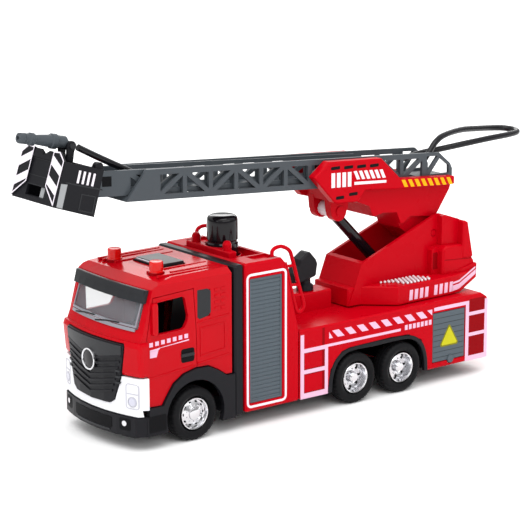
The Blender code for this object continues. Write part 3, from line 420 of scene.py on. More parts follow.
HOSE_LOOP = [(-96.0, 4.6, 110.4), (-100.5, 4.5, 115.2), (-105.0, 4.0, 119.3), (-112.5, 2.2, 121.6)]
HOSE_LOOP += [(-128.3, -2.4, 122.0), (-145.0, -6.4, 120.5), (-156.0, -8.3, 119.4), (-163.6, -6.8, 118.8)]
HOSE_LOOP += [(-166.2, -1.2, 118.4), (-162.6, 4.6, 118.2), (-153.0, 7.2, 118.1), (-138.6, 7.4, 117.6)]
HOSE_LOOP += [(-123.6, 4.6, 116.0), (-111.5, 0.6, 114.2), (-101.1, -3.4, 112.6), (-90.0, -4.2, 110.9)]
HOSE_RUN = [(111.7, 0, 139.3), (107.0, 0, 136.8), (99.8, 0, 133.1), (92.0, 0, 129.2), (84.5, 0, 125.5)]
HOSE_RUN.append((78.0, 0, 121.8))


def hoses():
    for name, knots, body in (("hose_loop", HOSE_LOOP, "hose"), ("hose_run", HOSE_RUN, "fly")):
        line = smooth_line(knots, 7)
        hose = bar(name + "_rubber", line, HOSE_D / 2, HOSE, body)
        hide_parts(name)


# ---- plain pieces ------------------------------------------------------------------------------

LOOKS = (
    (RED_PAINT, 0.5, ("cab_shell",)),
    (RED_PAINT, 0.2, ("door_left", "door_right")),
    (RED, 0.4, ("pump_box", "rear_body", "ladder_rest", "turntable", "boom_carriage", "boom_pin")),
    (WHITE, 0.6, ("headlamp_bumper",)),
    (WHITE, 0.3, ("water_tank",)),
    (BLACK, 0.4, ("lower_bumper", "divider_band", "arch_trim_left", "arch_trim_right")),
    (BLACK, 0.4, ("chassis_base", "cab_interior")),
    (BLACK, 0.3, ("basket", "pump_cylinder", "grille_panel")),
    (CHARCOAL, 0.4, ("sun_visor",)),
    (CLEAR, 0.0, ("windscreen",)),
    (GLOSS_BLACK, 0.15, ("strut_barrel",)),
    (STEEL, 0.1, ("strut_rod", "front_axle", "mid_axle", "rear_axle")),
    (GREY, 0.3, ("base_ladder", "fly_ladder")),
    (CHARCOAL, 0.3, ("roof_hatch",)),
    (SHUTTER, 0.25, ("flap_left", "flap_right")),
)


def plain_pieces():
    """Pieces that keep the model's shape: a surface, rounded edges and smooth shading."""
    for material, edge, names in LOOKS:
        for name in names:
            node = smooth(paint(frame["nodes"][name], material), 40)
            if edge:
                soften(node, edge)


# ---- wheels ------------------------------------------------------------------------------------

TREAD = [(8.3, -1.5), (8.6, -0.9), (9.4, -0.35), (10.4, -0.02), (11.2, -0.1), (11.9, -0.5), (12.45, -1.0)]
TREAD += [(12.78, -1.7), (12.9, -3.1), (12.5, -3.2), (12.5, -3.7), (12.9, -3.8), (12.9, -5.2), (12.5, -5.3)]
TREAD += [(12.5, -5.8), (12.9, -5.9), (12.78, -7.3), (12.4, -8.1), (11.6, -8.7), (8.3, -8.7)]
SHOULDER = (6, 7, 8, 15, 16, 17)

HUB_BACK = [(6.6, -8.3), (7.9, -8.3), (7.9, -1.3), (7.55, -0.8), (7.1, -0.9), (6.85, -1.5)]
FRONT_HUB = [(0, -3.6), (6.0, -4.4)] + HUB_BACK
FRONT_HUB += [(6.5, -2.4), (5.9, -2.6), (4.9, -2.1), (3.5, -1.7), (3.1, -1.5), (2.9, -0.9), (2.2, -0.6)]
FRONT_HUB.append((0, -0.5))
REAR_HUB = [(0, -5.8), (6.0, -6.6)] + HUB_BACK
REAR_HUB += [(6.4, -3.6), (5.9, -5.0), (4.6, -5.1), (3.1, -4.9), (2.8, -4.2), (2.5, -2.2), (1.9, -1.6)]
REAR_HUB.append((0, -1.45))


def tread_ripple(index, step, r):
    """Cut blocks on the shoulders and fine ribs on the sidewall."""
    if index in SHOULDER and step % 4 == 0:
        return r - 0.28
    if index in (3, 4) and step % 4 < 2:
        return r - 0.06
    return r


def spaced(x, r, count, size, phase=0.0):
    """Round outlines spaced about a wheel's axis."""
    turns = [2 * math.pi * (i + phase) / count for i in range(count)]
    return [ring((x + r * math.cos(a), WHEEL_R + r * math.sin(a)), size, 12) for a in turns]


def wheel(name, x, side, word, outside):
    body = name + "_wheels"
    foot, head = (x, side * outside, WHEEL_R), (x, side * (outside + 10), WHEEL_R)
    tyre = lathe(f"{name}_tyre_rubber_{word}", TREAD, foot, head, RUBBER, body, 144, tread_ripple, 35)
    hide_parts(f"{name}_tyre_{word}")
    front = name == "front"
    hub = lathe(f"{name}_hub_plated_{word}", FRONT_HUB if front else REAR_HUB, foot, head, CHROME, body, 72)
    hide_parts(f"{name}_hub_{word}")
    count, hole_r, hole_y = (10, 5.45, 2.45) if front else (8, 5.25, 5.05)
    nut_r, nut_y = (4.05, 1.95) if front else (3.85, 5.0)
    lo, hi = sorted((side * (outside - hole_y - 0.2), side * (outside - hole_y + 0.14)))
    # Painted shade in the hub's holes.
    flat(f"{name}_hub_holes_{word}", spaced(x, hole_r, count, 0.66), SIDE_PLANE, lo, hi, RECESS_SHADE, body)
    lo, hi = sorted((side * (outside - nut_y - 0.2), side * (outside - nut_y + 0.6)))
    nuts = spaced(x, nut_r, count, 0.4, 0.5)
    flat(f"{name}_hub_nuts_{word}", nuts, SIDE_PLANE, lo, hi, CHROME, body, 0.12)


def wheels():
    for name, x, outside in AXLES:
        for side, word in SIDES:
            wheel(name, x, side, word, outside)


# ---- body sides --------------------------------------------------------------------------------

ARCH = [(-9.8, 8.4), (-10.3, 14.5), (-11.8, 20.0), (-14.6, 24.6), (-18.8, 27.7), (-24.5, 29.1)]
ARCH += [(-36.8, 29.4), (-49.9, 29.5), (-61.0, 29.0), (-67.0, 27.4), (-71.4, 24.0), (-74.0, 19.2)]
ARCH += [(-75.2, 13.6), (-75.4, 8.4)]
LIP = 2.3  # how wide the arch's lip is
LIP_BACK = 30.6  # sideways, from the truck's middle
LIP_FACE = 32.45


def arch_trims():
    """Raised lips round the rear wheel arches."""
    outer = smooth_line([(x, z, 0.0) for x, z in ARCH], 3)
    centre = Vector((-42.5, 8.4, 0.0))
    inner = []
    for point in outer:
        toward = (centre - Vector(point)).normalized()
        lift = 0.0 if point[1] < 9.0 else toward.y
        inward = math.copysign(LIP, toward.x) * max(0.35, abs(toward.x))
        inner.append((point[0] + inward, point[1] + LIP * lift))
    for side, word in SIDES:
        bm = bmesh.new()
        rings = []
        for (x, z, _), (x2, z2) in zip(outer, inner):
            corners = ((x, z, LIP_BACK), (x, z, LIP_FACE), (x2, z2, LIP_FACE), (x2, z2, LIP_BACK))
            rings.append([bm.verts.new(world(u, side * y, v)) for u, v, y in corners])
        for here, after in zip(rings, rings[1:]):
            for i in range(4):
                j = (i + 1) % 4
                bm.faces.new((here[i], after[i], after[j], here[j]))
        bm.faces.new(rings[0])
        bm.faces.new(rings[-1])
        bmesh.ops.recalc_face_normals(bm, faces=bm.faces)
        mesh = bpy.data.meshes.new("arch_lip_" + word)
        bm.to_mesh(mesh)
        bm.free()
        lip = soften(adopt("arch_lip_" + word, mesh, BLACK, "body"), 0.3, 2, 30)
        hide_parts("arch_trim_" + word)


def step_frames():
    """The printed ladder frames, with painted shade in the grooves and panels between their bars and along
    the front panels' lips.
    """
    front = [rect(5.5, 8.2, 7.6, 40.4), rect(-9.6, 8.2, -7.6, 33.2), rect(-7.6, 31.2, 5.5, 33.2)]
    front += [rect(-7.6, 20.6, 5.5, 22.6), rect(-7.6, 8.2, 5.5, 10.9)]
    rear = [rect(-103.9, 8.2, -101.7, 40.2), rect(-117.2, 8.2, -115.1, 39.6)]
    rear.append(rect(-101.7, 38.4, -79.6, 40.2))
    rear += [rect(-115.1, low, -103.9, high) for low, high in ((32.2, 34.0), (21.2, 23.0), (8.2, 10.8))]
    on_side("step_frames", front + rear, BODY_SIDE, PRINT, PRINT_PINK, "body")
    # Painted shade in the grooves and hollow panels between the bars, and along the front panels' lips.
    grooves = [rect(-7.5, low, -6.0, high) for low, high in ((11.0, 20.5), (22.7, 31.1), (33.4, 42.0))]
    hollows = [rect(-115.1, low, -103.9, high) for low, high in ((10.8, 21.2), (23.0, 32.2), (34.0, 40.8))]
    on_side("step_groove_shade", grooves + hollows, BODY_SIDE, 0.03, DEEP_RED_AND_SHADE, "body")
    lips = [(rect(-7.6, 10.9, 5.5, 20.6), rect(-7.2, 11.4, 5.1, 20.1))]
    lips.append((rect(-7.6, 22.6, 5.5, 31.2), rect(-7.2, 23.1, 5.1, 30.8)))
    on_side("step_lip_shade", lips, BODY_SIDE, 0.06, DEEP_RED_AND_SHADE, "body")


def side_prints():
    bars = [[(-10.3, 35.9), (-12.6, 35.9), (-10.3, 39.2)]]
    bars += [slanted(-12.2 - 7.85 * k, 39.6, 4.2, 3.6, 3.7) for k in range(8)]
    bars.append([(-74.8, 39.6), (-78.2, 39.6), (-78.2, 36.6)])
    marks = [rect(-61.6 - 2.7 * k, 31.9, -59.8 - 2.7 * k, 34.4) for k in range(7)]
    stripe = rect(-57.0, 31.9, -9.6, 33.2)
    on_side("side_prints", bars + marks + [stripe], BODY_SIDE, PRINT, PRINT_PINK, "body")


def shutters():
    """Roller shutters: fine rounded slats in a thin frame."""
    foot, top, back = 12.4, 71.5, 30.3
    for side, word in SIDES:
        edge = [(side * back, foot)]
        z = foot
        while z < top:
            for out, up in ((31.3, 0.12), (31.6, 0.35), (31.6, 1.6), (31.3, 1.85)):
                edge.append((side * out, z + up))
            z += SLAT_PITCH
        edge.append((side * back, z))
        slats = flat(f"shutter_slats_{word}", [edge], FRONT_PLANE, 19.2, 38.1, SHUTTER, "body")
        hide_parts("shutter_" + word)
    frame_shape = (rounded(19.05, 12.2, 38.3, 72.8, 0.6), rounded(20.0, 13.2, 37.4, 71.9, 0.5))
    on_side("shutter_frame", [frame_shape], 31.35, 0.5, SHUTTER, "body", 0.15)
    line = border(16.2, 9.8, 40.4, 75.4, 2.6, 1.15)
    on_side("shutter_border", [line], BODY_SIDE, PRINT, PRINT_WHITE, "body")


def flaps():
    """Painted shade lines under the low ribs, and a plain warning triangle, on the hinged flaps."""
    ribs = [rect(-100.6, 13.3 + 2.95 * k, -79.6, 13.6 + 2.95 * k) for k in range(8)]
    # Painted shade under each low rib.
    on_side("flap_rib_shade", ribs, FLAP_SIDE, 0.06, GREY_PAINTED_SHADE, "{}_flap")
    outer = [(-84.9, 18.6), (-96.1, 18.6), (-96.8, 19.8), (-91.0, 29.6), (-90.0, 29.6), (-84.2, 19.8)]
    inner = [(-85.7, 19.4), (-95.3, 19.4), (-95.8, 20.1), (-90.8, 28.5), (-90.2, 28.5), (-85.2, 20.1)]
    on_side("flap_sign_edge", [outer], FLAP_SIDE, 0.1, SIGN_BORDER, "{}_flap")
    on_side("flap_sign", [inner], FLAP_SIDE, 0.16, SIGN_YELLOW, "{}_flap")


def grab_ladders():
    """Round bars bent into a frame, with rungs."""
    knots = [(23.6, 81.6), (23.4, 84.0), (21.2, 85.4), (17.4, 85.4), (13.2, 83.0), (11.3, 78.8)]
    knots += [(8.0, 67.6), (4.7, 57.1), (4.4, 53.8), (6.4, 51.9), (8.6, 53.0), (10.4, 58.0)]
    knots += [(13.0, 67.4), (15.6, 77.2)]
    rungs = (((10.0, 75.2), (15.1, 75.4)), ((7.4, 65.4), (12.6, 65.8)), ((5.8, 60.2), (11.0, 60.6)))
    for side, word in SIDES:
        y = side * 30.0
        frame_line = smooth_line([(x, y, z) for x, z in knots], 5)
        rail = bar("grab_rail_" + word, frame_line, 0.95, RED, "body")
        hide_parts("grab_ladder_" + word)
        for k, (a, b) in enumerate(rungs):
            bar(f"grab_rung_{word}_{k}", [(a[0], y, a[1]), (b[0], y, b[1])], 0.75, RED, "body")


# ---- cab ---------------------------------------------------------------------------------------

def doors():
    # Painted shade in the recess behind each door handle.
    recess = rounded(69.8, 38.6, 77.4, 45.2, 1.2)
    on_side("door_handle_shade", [recess], CAB_SIDE, 0.05, RECESS_SHADE, "{}_door")
    on_side("door_handle", [rounded(69.9, 41.4, 77.6, 43.0, 0.7)], CAB_SIDE, 0.7, CHARCOAL, "{}_door", 0.25)
    line = [(94.9, 47.0), (90.4, 47.0), (89.0, 48.0), (72.9, 48.9), (72.9, 49.5), (94.9, 47.7)]
    block = [(94.9, 47.1), (90.2, 47.1), (91.2, 44.0), (94.9, 44.0)]
    dashes = [rect(93.2 - 3.3 * k, 49.2 + 0.17 * k, 95.2 - 3.3 * k, 51.2 + 0.17 * k) for k in range(7)]
    on_side("door_prints", [line, block] + dashes, CAB_SIDE, PRINT, PRINT_PINK, "{}_door")
    crease = [(95.8, 34.0), (69.6, 36.2), (69.6, 36.9), (95.8, 34.7)]
    on_side("door_crease", [crease], CAB_SIDE, 0.35, RED_PAINT, "{}_door", 0.15)
    inner = [(90.5, 69.5), (76.5, 70.3), (75.1, 69.3), (73.3, 60.6), (73.7, 58.4), (75.4, 55.4)]
    inner += [(76.6, 54.8), (90.2, 54.4)]
    outer = [(91.0, 70.1), (76.4, 71.0), (74.5, 69.7), (72.7, 60.7), (73.2, 58.1), (75.1, 54.8)]
    outer += [(76.4, 54.2), (90.7, 53.8)]
    on_side("window_rim", [(outer, inner)], CAB_SIDE, 0.25, RED_PAINT, "{}_door", 0.1)
    mirror = rounded(90.9, 54.4, 93.9, 69.6, 1.1)
    on_side("mirror_bar", [mirror], 30.6, 1.5, RED_PAINT, "{}_door", 0.45, 0.5)


def cab_sides():
    vents = []
    for row in range(4):
        for column in range(2):
            x, z = 51.6 + 3.5 * column, 60.8 + 3.0 * row
            vents.append(rounded(x, z, x + 2.8, z + 1.6, 0.6))
    on_side("cab_vents", vents, CAB_SIDE, 0.3, RED_PAINT, "body", 0.15)
    upper = [(68.0, 56.0), (49.2, 57.5), (49.2, 58.2), (68.0, 56.7)]
    lower = [(68.0, 36.4), (49.2, 38.5), (49.2, 39.2), (68.0, 37.1)]
    edge = [(66.5, 53.9), (51.8, 54.6), (51.8, 41.4), (66.5, 40.0)]
    field = [(65.9, 53.3), (52.4, 54.0), (52.4, 42.0), (65.9, 40.7)]
    on_side("cab_creases", [upper, lower, (edge, field)], CAB_SIDE, 0.35, RED_PAINT, "body", 0.15)
    pane = [(67.9, 71.9), (62.2, 71.9), (60.2, 70.6), (60.2, 60.4), (61.8, 58.9), (66.6, 57.9)]
    pane.append((67.9, 58.9))
    on_side("side_pane", [pane], CAB_SIDE, 0.06, CHARCOAL, "body", 0.0, 1.0)


def roof():
    ribs = ((-24.3, 86.0), (-20.6, 86.0), (-13.4, 84.0), (13.4, 84.0), (20.6, 76.0), (24.3, 86.0))
    for k, (y, front) in enumerate(ribs):
        slab(f"roof_rib_{k}", (50.5, y - 0.7, 78.9), (front, y + 0.7, 80.25), RED_PAINT, "body", 0.3)
    slab("hatch_lip", (73.3, -9.9, 80.3), (74.5, 9.9, 81.0), SILVER, "body", 0.25)
    # A near-black band round the hatch: painted shade in the gap round it.
    slab("hatch_gap_shade", (60.2, -10.9, 79.4), (75.2, 10.9, 80.36), RECESS_SHADE, "body", 0.2)
    core = [(0, 4.6), (1.2, 4.5), (1.3, 0.3), (0, 0.3)]
    pad = [(0, 0.3), (3.9, 0.25), (3.9, -1.2), (0, -1.2)]
    dome = [(0, 5.4), (2.9, 5.35), (3.25, 5.0), (3.3, 1.0), (3.55, 0.9), (3.6, 0.1), (0, 0.1)]
    for side, word in SIDES:
        foot, head = (81.4, side * 17.2, ROOF_TOP), (81.4, side * 17.2, ROOF_TOP + 10)
        lamp = lathe("beacon_lens_" + word, dome, foot, head, LENS_RED, "body", 48)
        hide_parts("beacon_" + word)
        lathe("beacon_core_" + word, core, foot, head, DEEP_RED_AND_SHADE, "body", 24)
        lathe("beacon_foot_" + word, pad, foot, head, DEEP_RED_AND_SHADE, "body", 40)


def grille():
    slats = []
    for k in range(7):
        z = 24.2 + 2.75 * k
        half = 15.6 + (z - 23.0) * 0.36
        rise = half * 0.17
        low, high = z + rise, z + rise + 1.1
        slats.append([(-half, low), (0, z - 1.0), (half, low), (half, high), (0, z + 0.2), (-half, high)])
    on_nose("grille_slats", slats, NOSE_X + 0.3, NOSE_X + 1.0, BLACK)
    brow = [(-22.4, 49.9), (22.4, 49.9), (22.0, 44.6), (8.0, 42.4), (-8.0, 42.4), (-22.0, 44.6)]
    on_nose("grille_brow", [brow], NOSE_X + 0.3, NOSE_X + 0.9, CHARCOAL)
    tips = []
    for s in (-1, 1):
        for z in (31.4, 34.2, 37.0):
            tips.append([(s * 20.6, z), (s * 21.3, z + 1.0), (s * 18.6, z + 1.0), (s * 18.2, z)])
    on_nose("grille_tips", tips, NOSE_X + 0.3, NOSE_X + 1.1, CHARCOAL)
    rim = [(4.3, 0.2), (4.35, 0.9), (4.6, 1.2), (5.0, 1.25), (5.25, 1.0), (5.3, 0.2)]
    foot, head = (NOSE_X + 0.7, 0, 39.5), (NOSE_X + 9, 0, 39.5)
    lathe("badge_rim", rim, foot, head, CHROME, "body", 64)
    bowl = [(0, 0.9), (3.4, 0.8), (4.4, 0.5), (4.4, 0.1), (0, 0.1)]
    dish = lathe("badge_dish", bowl, foot, head, GLOSS_BLACK, "body", 64)
    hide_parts("badge_ring")


def lamps():
    back, front = NOSE_X - 0.2, NOSE_X + 0.2
    for side, word in SIDES:
        y = side * 27.0
        lamp = (y, 23.8)
        # Painted shade along the surround's edge, across its crease and round the lens.
        edge = border(y - 3.6, 20.4, y + 3.6, 32.4, 1.5, 0.35)
        on_nose("headlamp_edge_" + word, [edge], back, NOSE_X + 0.12, WHITE_PAINTED_SHADE)
        crease = rect(y - 3.0, 27.4, y + 3.0, 27.8)
        on_nose("headlamp_line_" + word, [crease], back, NOSE_X + 0.14, WHITE_PAINTED_SHADE)
        on_nose("headlamp_lens_" + word, [ring(lamp, 1.9)], back, front, LILAC)
        on_nose("headlamp_ring_" + word, [(ring(lamp, 2.5), ring(lamp, 2.1))], back, front, WHITE_PAINTED_SHADE)
        y = side * 23.2
        # Painted shade in the pocket round each fog lamp.
        pocket = rounded(y - 3.2, 9.8, y + 3.2, 15.6, 1.0)
        on_nose("fog_pocket_shade_" + word, [pocket], NOSE_X + 0.3, NOSE_X + 0.66, RECESS_SHADE)
        on_nose("fog_lamp_" + word, [ring((y, 13.2), 1.3)], NOSE_X + 0.5, NOSE_X + 1.1, CHROME, 0.2)
    # Painted shade in the skirt's recess.
    on_side("skirt_recess_shade", [rounded(86.9, 8.6, 96.6, 16.6, 0.8)], 31.7, 0.04, RECESS_SHADE, "body")
    # Painted shade in the bumper's mouth.
    on_nose("bumper_mouth_shade", [rounded(-15.2, 9.4, 15.2, 14.8, 0.9)], NOSE_X + 0.4, NOSE_X + 0.68, RECESS_SHADE)
    on_nose("bumper_lip", [rounded(-14.0, 8.0, 14.0, 9.0, 0.4)], NOSE_X + 0.4, NOSE_X + 0.9, CHARCOAL)


def screen_trim():
    section = [(102.5, 56.2), (101.9, 57.6), (102.3, 57.8), (102.9, 56.4)]
    bowed(flat("screen_strip", [section], SIDE_PLANE, -25.8, 25.8, SILVER, "body"))
    for k, y in enumerate((-21.0, -2.0)):
        wiper = [(102.6, y, 57.0), (102.1, y + 8.0, 58.3), (101.8, y + 17.0, 58.9)]
        bar(f"wiper_{k}", [(x - swept(x, y, z) + 0.3, y, z) for x, y, z in wiper], 0.35, BLACK, "body")
    for k, y in enumerate((-12.0, -4.0, 10.0)):
        back, front = 101.4 - swept(101, y, 52), 103.6 - swept(103, y, 52)
        slab(f"washer_{k}", (back, y - 1.6, 51.6), (front, y + 1.6, 52.7), RED_PAINT, "body", 0.4)
    pane = [(-26.2, 58.2), (26.2, 58.2), (26.0, 71.6), (-26.0, 71.6)]
    inner = [(-25.3, 59.0), (25.3, 59.0), (25.2, 71.0), (-25.2, 71.0)]
    rim = flat("screen_rim", [(pane, inner)], FRONT_PLANE, 0.0, 0.5, SILVER, "body")
    for vert in rim.data.vertices:
        height = vert.co.z / MM
        vert.co.x += (101.95 - (height - 57.5) * 0.4177) * MM
    bowed(rim)
    ridge = [(97.0, 75.55), (97.35, 75.3), (98.1, 73.2), (97.7, 73.4)]
    bowed(flat("visor_ridge", [ridge], SIDE_PLANE, -28.2, 28.2, CHARCOAL, "body"))


# ---- pump and deck -----------------------------------------------------------------------------

def pump():
    cap = [(0, 97.9), (4.2, 97.9), (5.6, 97.7), (6.7, 97.2), (7.3, 96.4), (7.55, 95.2), (7.6, 93.0)]
    cap += [(7.62, 86.0), (7.2, 85.4), (7.2, 84.6), (7.66, 84.0), (8.02, 68.1), (6.6, 68.1), (6.3, 96.3)]
    cap += [(2.8, 96.3), (2.8, 50.1), (0, 50.1)]
    foot, head = (*BUTTON, 0), (*BUTTON, 100)
    button = lathe("button_cap", cap, foot, head, GLOSS_BLACK, "button", 72)
    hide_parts("pump_button")
    coil = []
    radius, low, tall = 4.5, 73.0, 22.6
    steps, steps_a_turn = 80, 16
    for i in range(steps + 1):
        turn = 2 * math.pi * i / steps_a_turn
        x, y = BUTTON[0] + radius * math.cos(turn), radius * math.sin(turn)
        coil.append((x, y, low + tall * i / steps))
    spring = as_mesh(bar("return_spring", coil, 0.45, STEEL, "body"))
    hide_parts("pump_spring")
    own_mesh(spring)
    collar = [(8.75, 77.6), (8.75, 78.3), (9.2, 78.5), (9.6, 78.3), (9.6, 77.6)]
    lathe("button_collar", collar, foot, head, RED, "body", 64)


def monitor():
    node = smooth(paint(frame["nodes"]["monitor"], BLACK), 40)
    soften(node, 0.5, 3)


# ---- turntable ---------------------------------------------------------------------------------

def turntable():
    """White bars lying on the ledge, marks and stripes on the band, painted shade in a step's recess, and a
    seam.
    """
    pitch, wide, inside = 2.42, 1.5, 14.6
    for side, word in SIDES:
        bars = []
        for k in range(13):
            foot_x = -57.9 - pitch * k
            near = min(15.6 + 0.9 * k, 18.4) if k < 4 else min(18.4 + 2.6 * (k - 3), 24.9)
            far = inside + 2.2 * max(0, k - 9)
            one, other = [(foot_x + 0.5 * (y - inside), side * y) for y in (near, far)]
            bars.append([one, (one[0] - wide, one[1]), (other[0] - wide, other[1]), other])
        flat("ledge_bars_" + word, bars, TOP_PLANE, 52.9, 54.1, BAR_WHITE, "tub", 0.5)
    marks = []
    for start in (-67.6, -84.8):
        for k in range(4):
            front = start - 3.6 * k
            marks.append([(front, 44.9), (front - 2.2, 44.9), (front - 2.6, 50.1), (front - 0.4, 50.1)])
    for k, mark in enumerate(marks):
        side_stripes(mark, f"band_mark_{k}")
    thick = [(-97.6, 44.9), (-103.1, 45.4), (-117.6, 50.8), (-117.6, 53.0), (-103.1, 48.1), (-97.6, 47.7)]
    thin = [(-97.6, 48.6), (-103.1, 49.0), (-117.2, 53.8), (-117.2, 54.7), (-103.1, 50.0), (-97.6, 49.5)]
    side_stripes(thick, "band_thick")
    side_stripes(thin, "band_thin")
    # Painted shade in the step's recess.
    on_side("step_recess_shade", [rounded(-95.0, 55.6, -91.8, 64.4, 0.5)], 17.2, 0.03, DEEP_RED_AND_SHADE, "tub")
    seam = [(-96.4, 60.4), (-115.4, 59.0), (-115.4, 59.4), (-96.4, 60.8)]
    on_side("locker_line", [seam], 21.2, 0.06, DEEP_RED_AND_SHADE, "tub")


BAND_STEPS = 8  # how finely a stripe follows the bent band


def band_face(x):
    """How far out the turntable's band is at a station."""
    if x > -96.5:
        return 25.8 + (x + 96.5) * 0.6 / 36.5
    if x > -103.0:
        return 25.2 + (x + 103.0) * 0.6 / 6.5
    return 22.0 + (x + 118.5) * 3.2 / 15.5


def side_stripes(outline, name):
    """A stripe that follows the band's bent face."""
    half = len(outline) // 2
    lower, upper = outline[:half], outline[half:][::-1]
    for side, word in SIDES:
        bm = bmesh.new()
        rows = []
        for out in (-0.1, PRINT):
            row = []
            for edge in (lower, upper):
                points = []
                for (xa, za), (xb, zb) in zip(edge, edge[1:]):
                    for i in range(BAND_STEPS):
                        t = i / BAND_STEPS
                        points.append((xa + (xb - xa) * t, za + (zb - za) * t))
                points.append(edge[-1])
                row.append([bm.verts.new(world(x, side * (band_face(x) + out), z)) for x, z in points])
            rows.append(row)
        (in_low, in_up), (out_low, out_up) = rows
        for one, other in ((in_low, in_up), (out_low, out_up), (in_low, out_low), (in_up, out_up)):
            for i in range(len(one) - 1):
                bm.faces.new((one[i], one[i + 1], other[i + 1], other[i]))
        for end in (0, -1):
            bm.faces.new((in_low[end], in_up[end], out_up[end], out_low[end]))
        bmesh.ops.recalc_face_normals(bm, faces=bm.faces)
        mesh = bpy.data.meshes.new(f"{name}_{word}")
        bm.to_mesh(mesh)
        bm.free()
        adopt(f"{name}_{word}", mesh, PRINT_PINK, "tub")


# ---- boom --------------------------------------------------------------------------------------

def fly_pockets():
    """Painted shade in square pockets at the sliding ladder's front end."""
    pocket = [(98.8, 120.9), (104.0, 121.3), (104.0, 126.0), (98.8, 125.6)]
    on_side("fly_pocket", [pocket], 7.6, 0.04, RECESS_SHADE, "fly")


def boom_plates():
    slots = []
    for k in range(4):
        x, z = -30.9 - 8.4 * k, 114.9 - 0.5 * k
        slots.append(rounded(x, z, x + 5.8, z + 1.6, 0.5))
    slots += [rounded(-33.6, 99.8, -28.4, 101.4, 0.5), rounded(-42.4, 100.6, -36.8, 102.2, 0.5)]
    # Painted shade in the slots in the plates.
    on_side("plate_slot_shade", slots, PLATE_SIDE, 0.05, RECESS_SHADE, "boom")
    stripes = [slanted(-39.6 - 3.4 * k, 112.8 - 0.23 * k, 2.0, 2.2, 4.4) for k in range(6)]
    blocks = []
    for k in range(4):
        x, top = -25.4 - 3.5 * k, 113.4 - 0.2 * k
        blocks.append([(x, top), (x - 2.3, top - 0.1), (x - 2.3, top - 7.4), (x, top - 7.3)])
    line = [(-40.2, 107.4), (-61.2, 105.9), (-61.2, 104.6), (-40.2, 105.9)]
    on_side("plate_prints", stripes + blocks + [line], PLATE_SIDE, PRINT, PRINT_WHITE, "boom")
    hazard = []
    for k in range(8):
        x = -71.4 - 4.4 * k
        top = 104.7 - 0.075 * (-x - 71.4)
        hazard.append([(x, top), (x - 2.4, top - 0.16), (x - 4.6, top - 4.1), (x - 2.2, top - 3.95)])
    on_side("rail_bars", hazard, PLATE_SIDE, PRINT, YELLOW, "boom")
    px, pz = STRUT_PIN
    bar("strut_eye", [(px, -4.15, pz), (px, 4.15, pz)], 4.0, WHITE, "boom")
    for side, word in SIDES:
        bar("cheek_boss_" + word, [(px, side * 8.2, pz), (px, side * 9.1, pz)], 2.7, RED, "boom")


# ---- basket and nozzle -------------------------------------------------------------------------

def mirrored(outline):
    return [(-y, s) for y, s in outline]


def basket():
    panel = [(8.1, 24.3), (13.1, 24.6), (17.6, 21.0), (17.6, 0.6), (8.1, 8.3)]
    inside = [(8.6, 23.7), (12.9, 24.0), (17.1, 20.8), (17.1, 1.8), (8.6, 8.5)]
    stripes = [[(8.7, top), (17.0, top - 4.1), (17.0, top - 8.1), (8.7, top - 4.0)] for top in (22.3, 13.4)]
    for turn, word in ((lambda shape: shape, "left"), (mirrored, "right")):
        flat("panel_plate_" + word, [turn(panel)], BASKET_FRONT, -0.3, 0.8, BLACK, "cage")
        line = (turn(panel), turn(inside))
        flat("panel_border_" + word, [line], BASKET_FRONT, 0.7, 0.95, PRINT_WHITE, "cage")
        bars = [turn(stripe) for stripe in stripes]
        flat("panel_stripes_" + word, bars, BASKET_FRONT, 0.7, 0.95, PRINT_WHITE, "cage")
    seams = [rect(-7.9, 19.2, 7.9, 19.5), rect(-7.9, 11.6, 7.9, 11.9), rect(-7.9, 7.4, 7.9, 7.8)]
    flat("basket_seams", seams, BASKET_FRONT, -0.3, 0.1, CHARCOAL, "cage")
    flat("basket_inner_strip", [rect(2.6, 1.4, 6.4, 7.2)], BASKET_FRONT, -1.6, -1.1, PALE_GREY, "cage")
    bars = []
    for k in range(4):
        x, z = 122.6 - 2.55 * k, 132.6 - 0.77 * k
        bars.append([(x, z), (x - 1.1, z - 0.3), (x + 0.5, z - 5.8), (x + 1.6, z - 5.5)])
    on_side("basket_bars", bars, BASKET_SIDE, PRINT, PRINT_WHITE, "cage")
    corner = [(132.2, 127.6), (128.9, 126.9), (132.0, 116.5), (135.0, 117.5)]
    on_side("basket_grey", [corner], BASKET_SIDE, 0.06, PALE_GREY, "cage")
    step = [(129.8, 128.2), (129.9, 127.7), (123.4, 125.6), (110.6, 122.0), (110.4, 122.6), (123.2, 126.2)]
    edge = [(121.7, 121.9), (114.1, 119.7), (116.0, 112.1), (123.8, 114.4)]
    field = [(121.3, 121.3), (114.7, 119.4), (116.4, 112.7), (123.2, 114.8)]
    on_side("basket_lines", [step, (edge, field)], BASKET_SIDE, 0.12, CHARCOAL, "cage")
    hinge_x, hinge_z = 110.6, 132.4
    for side, word in SIDES:
        y = side * 14.4
        ends = [(hinge_x, y - 1.4, hinge_z), (hinge_x, y + 1.4, hinge_z)]
        bar("basket_bracket_" + word, ends, 2.2, BLACK, "cage")


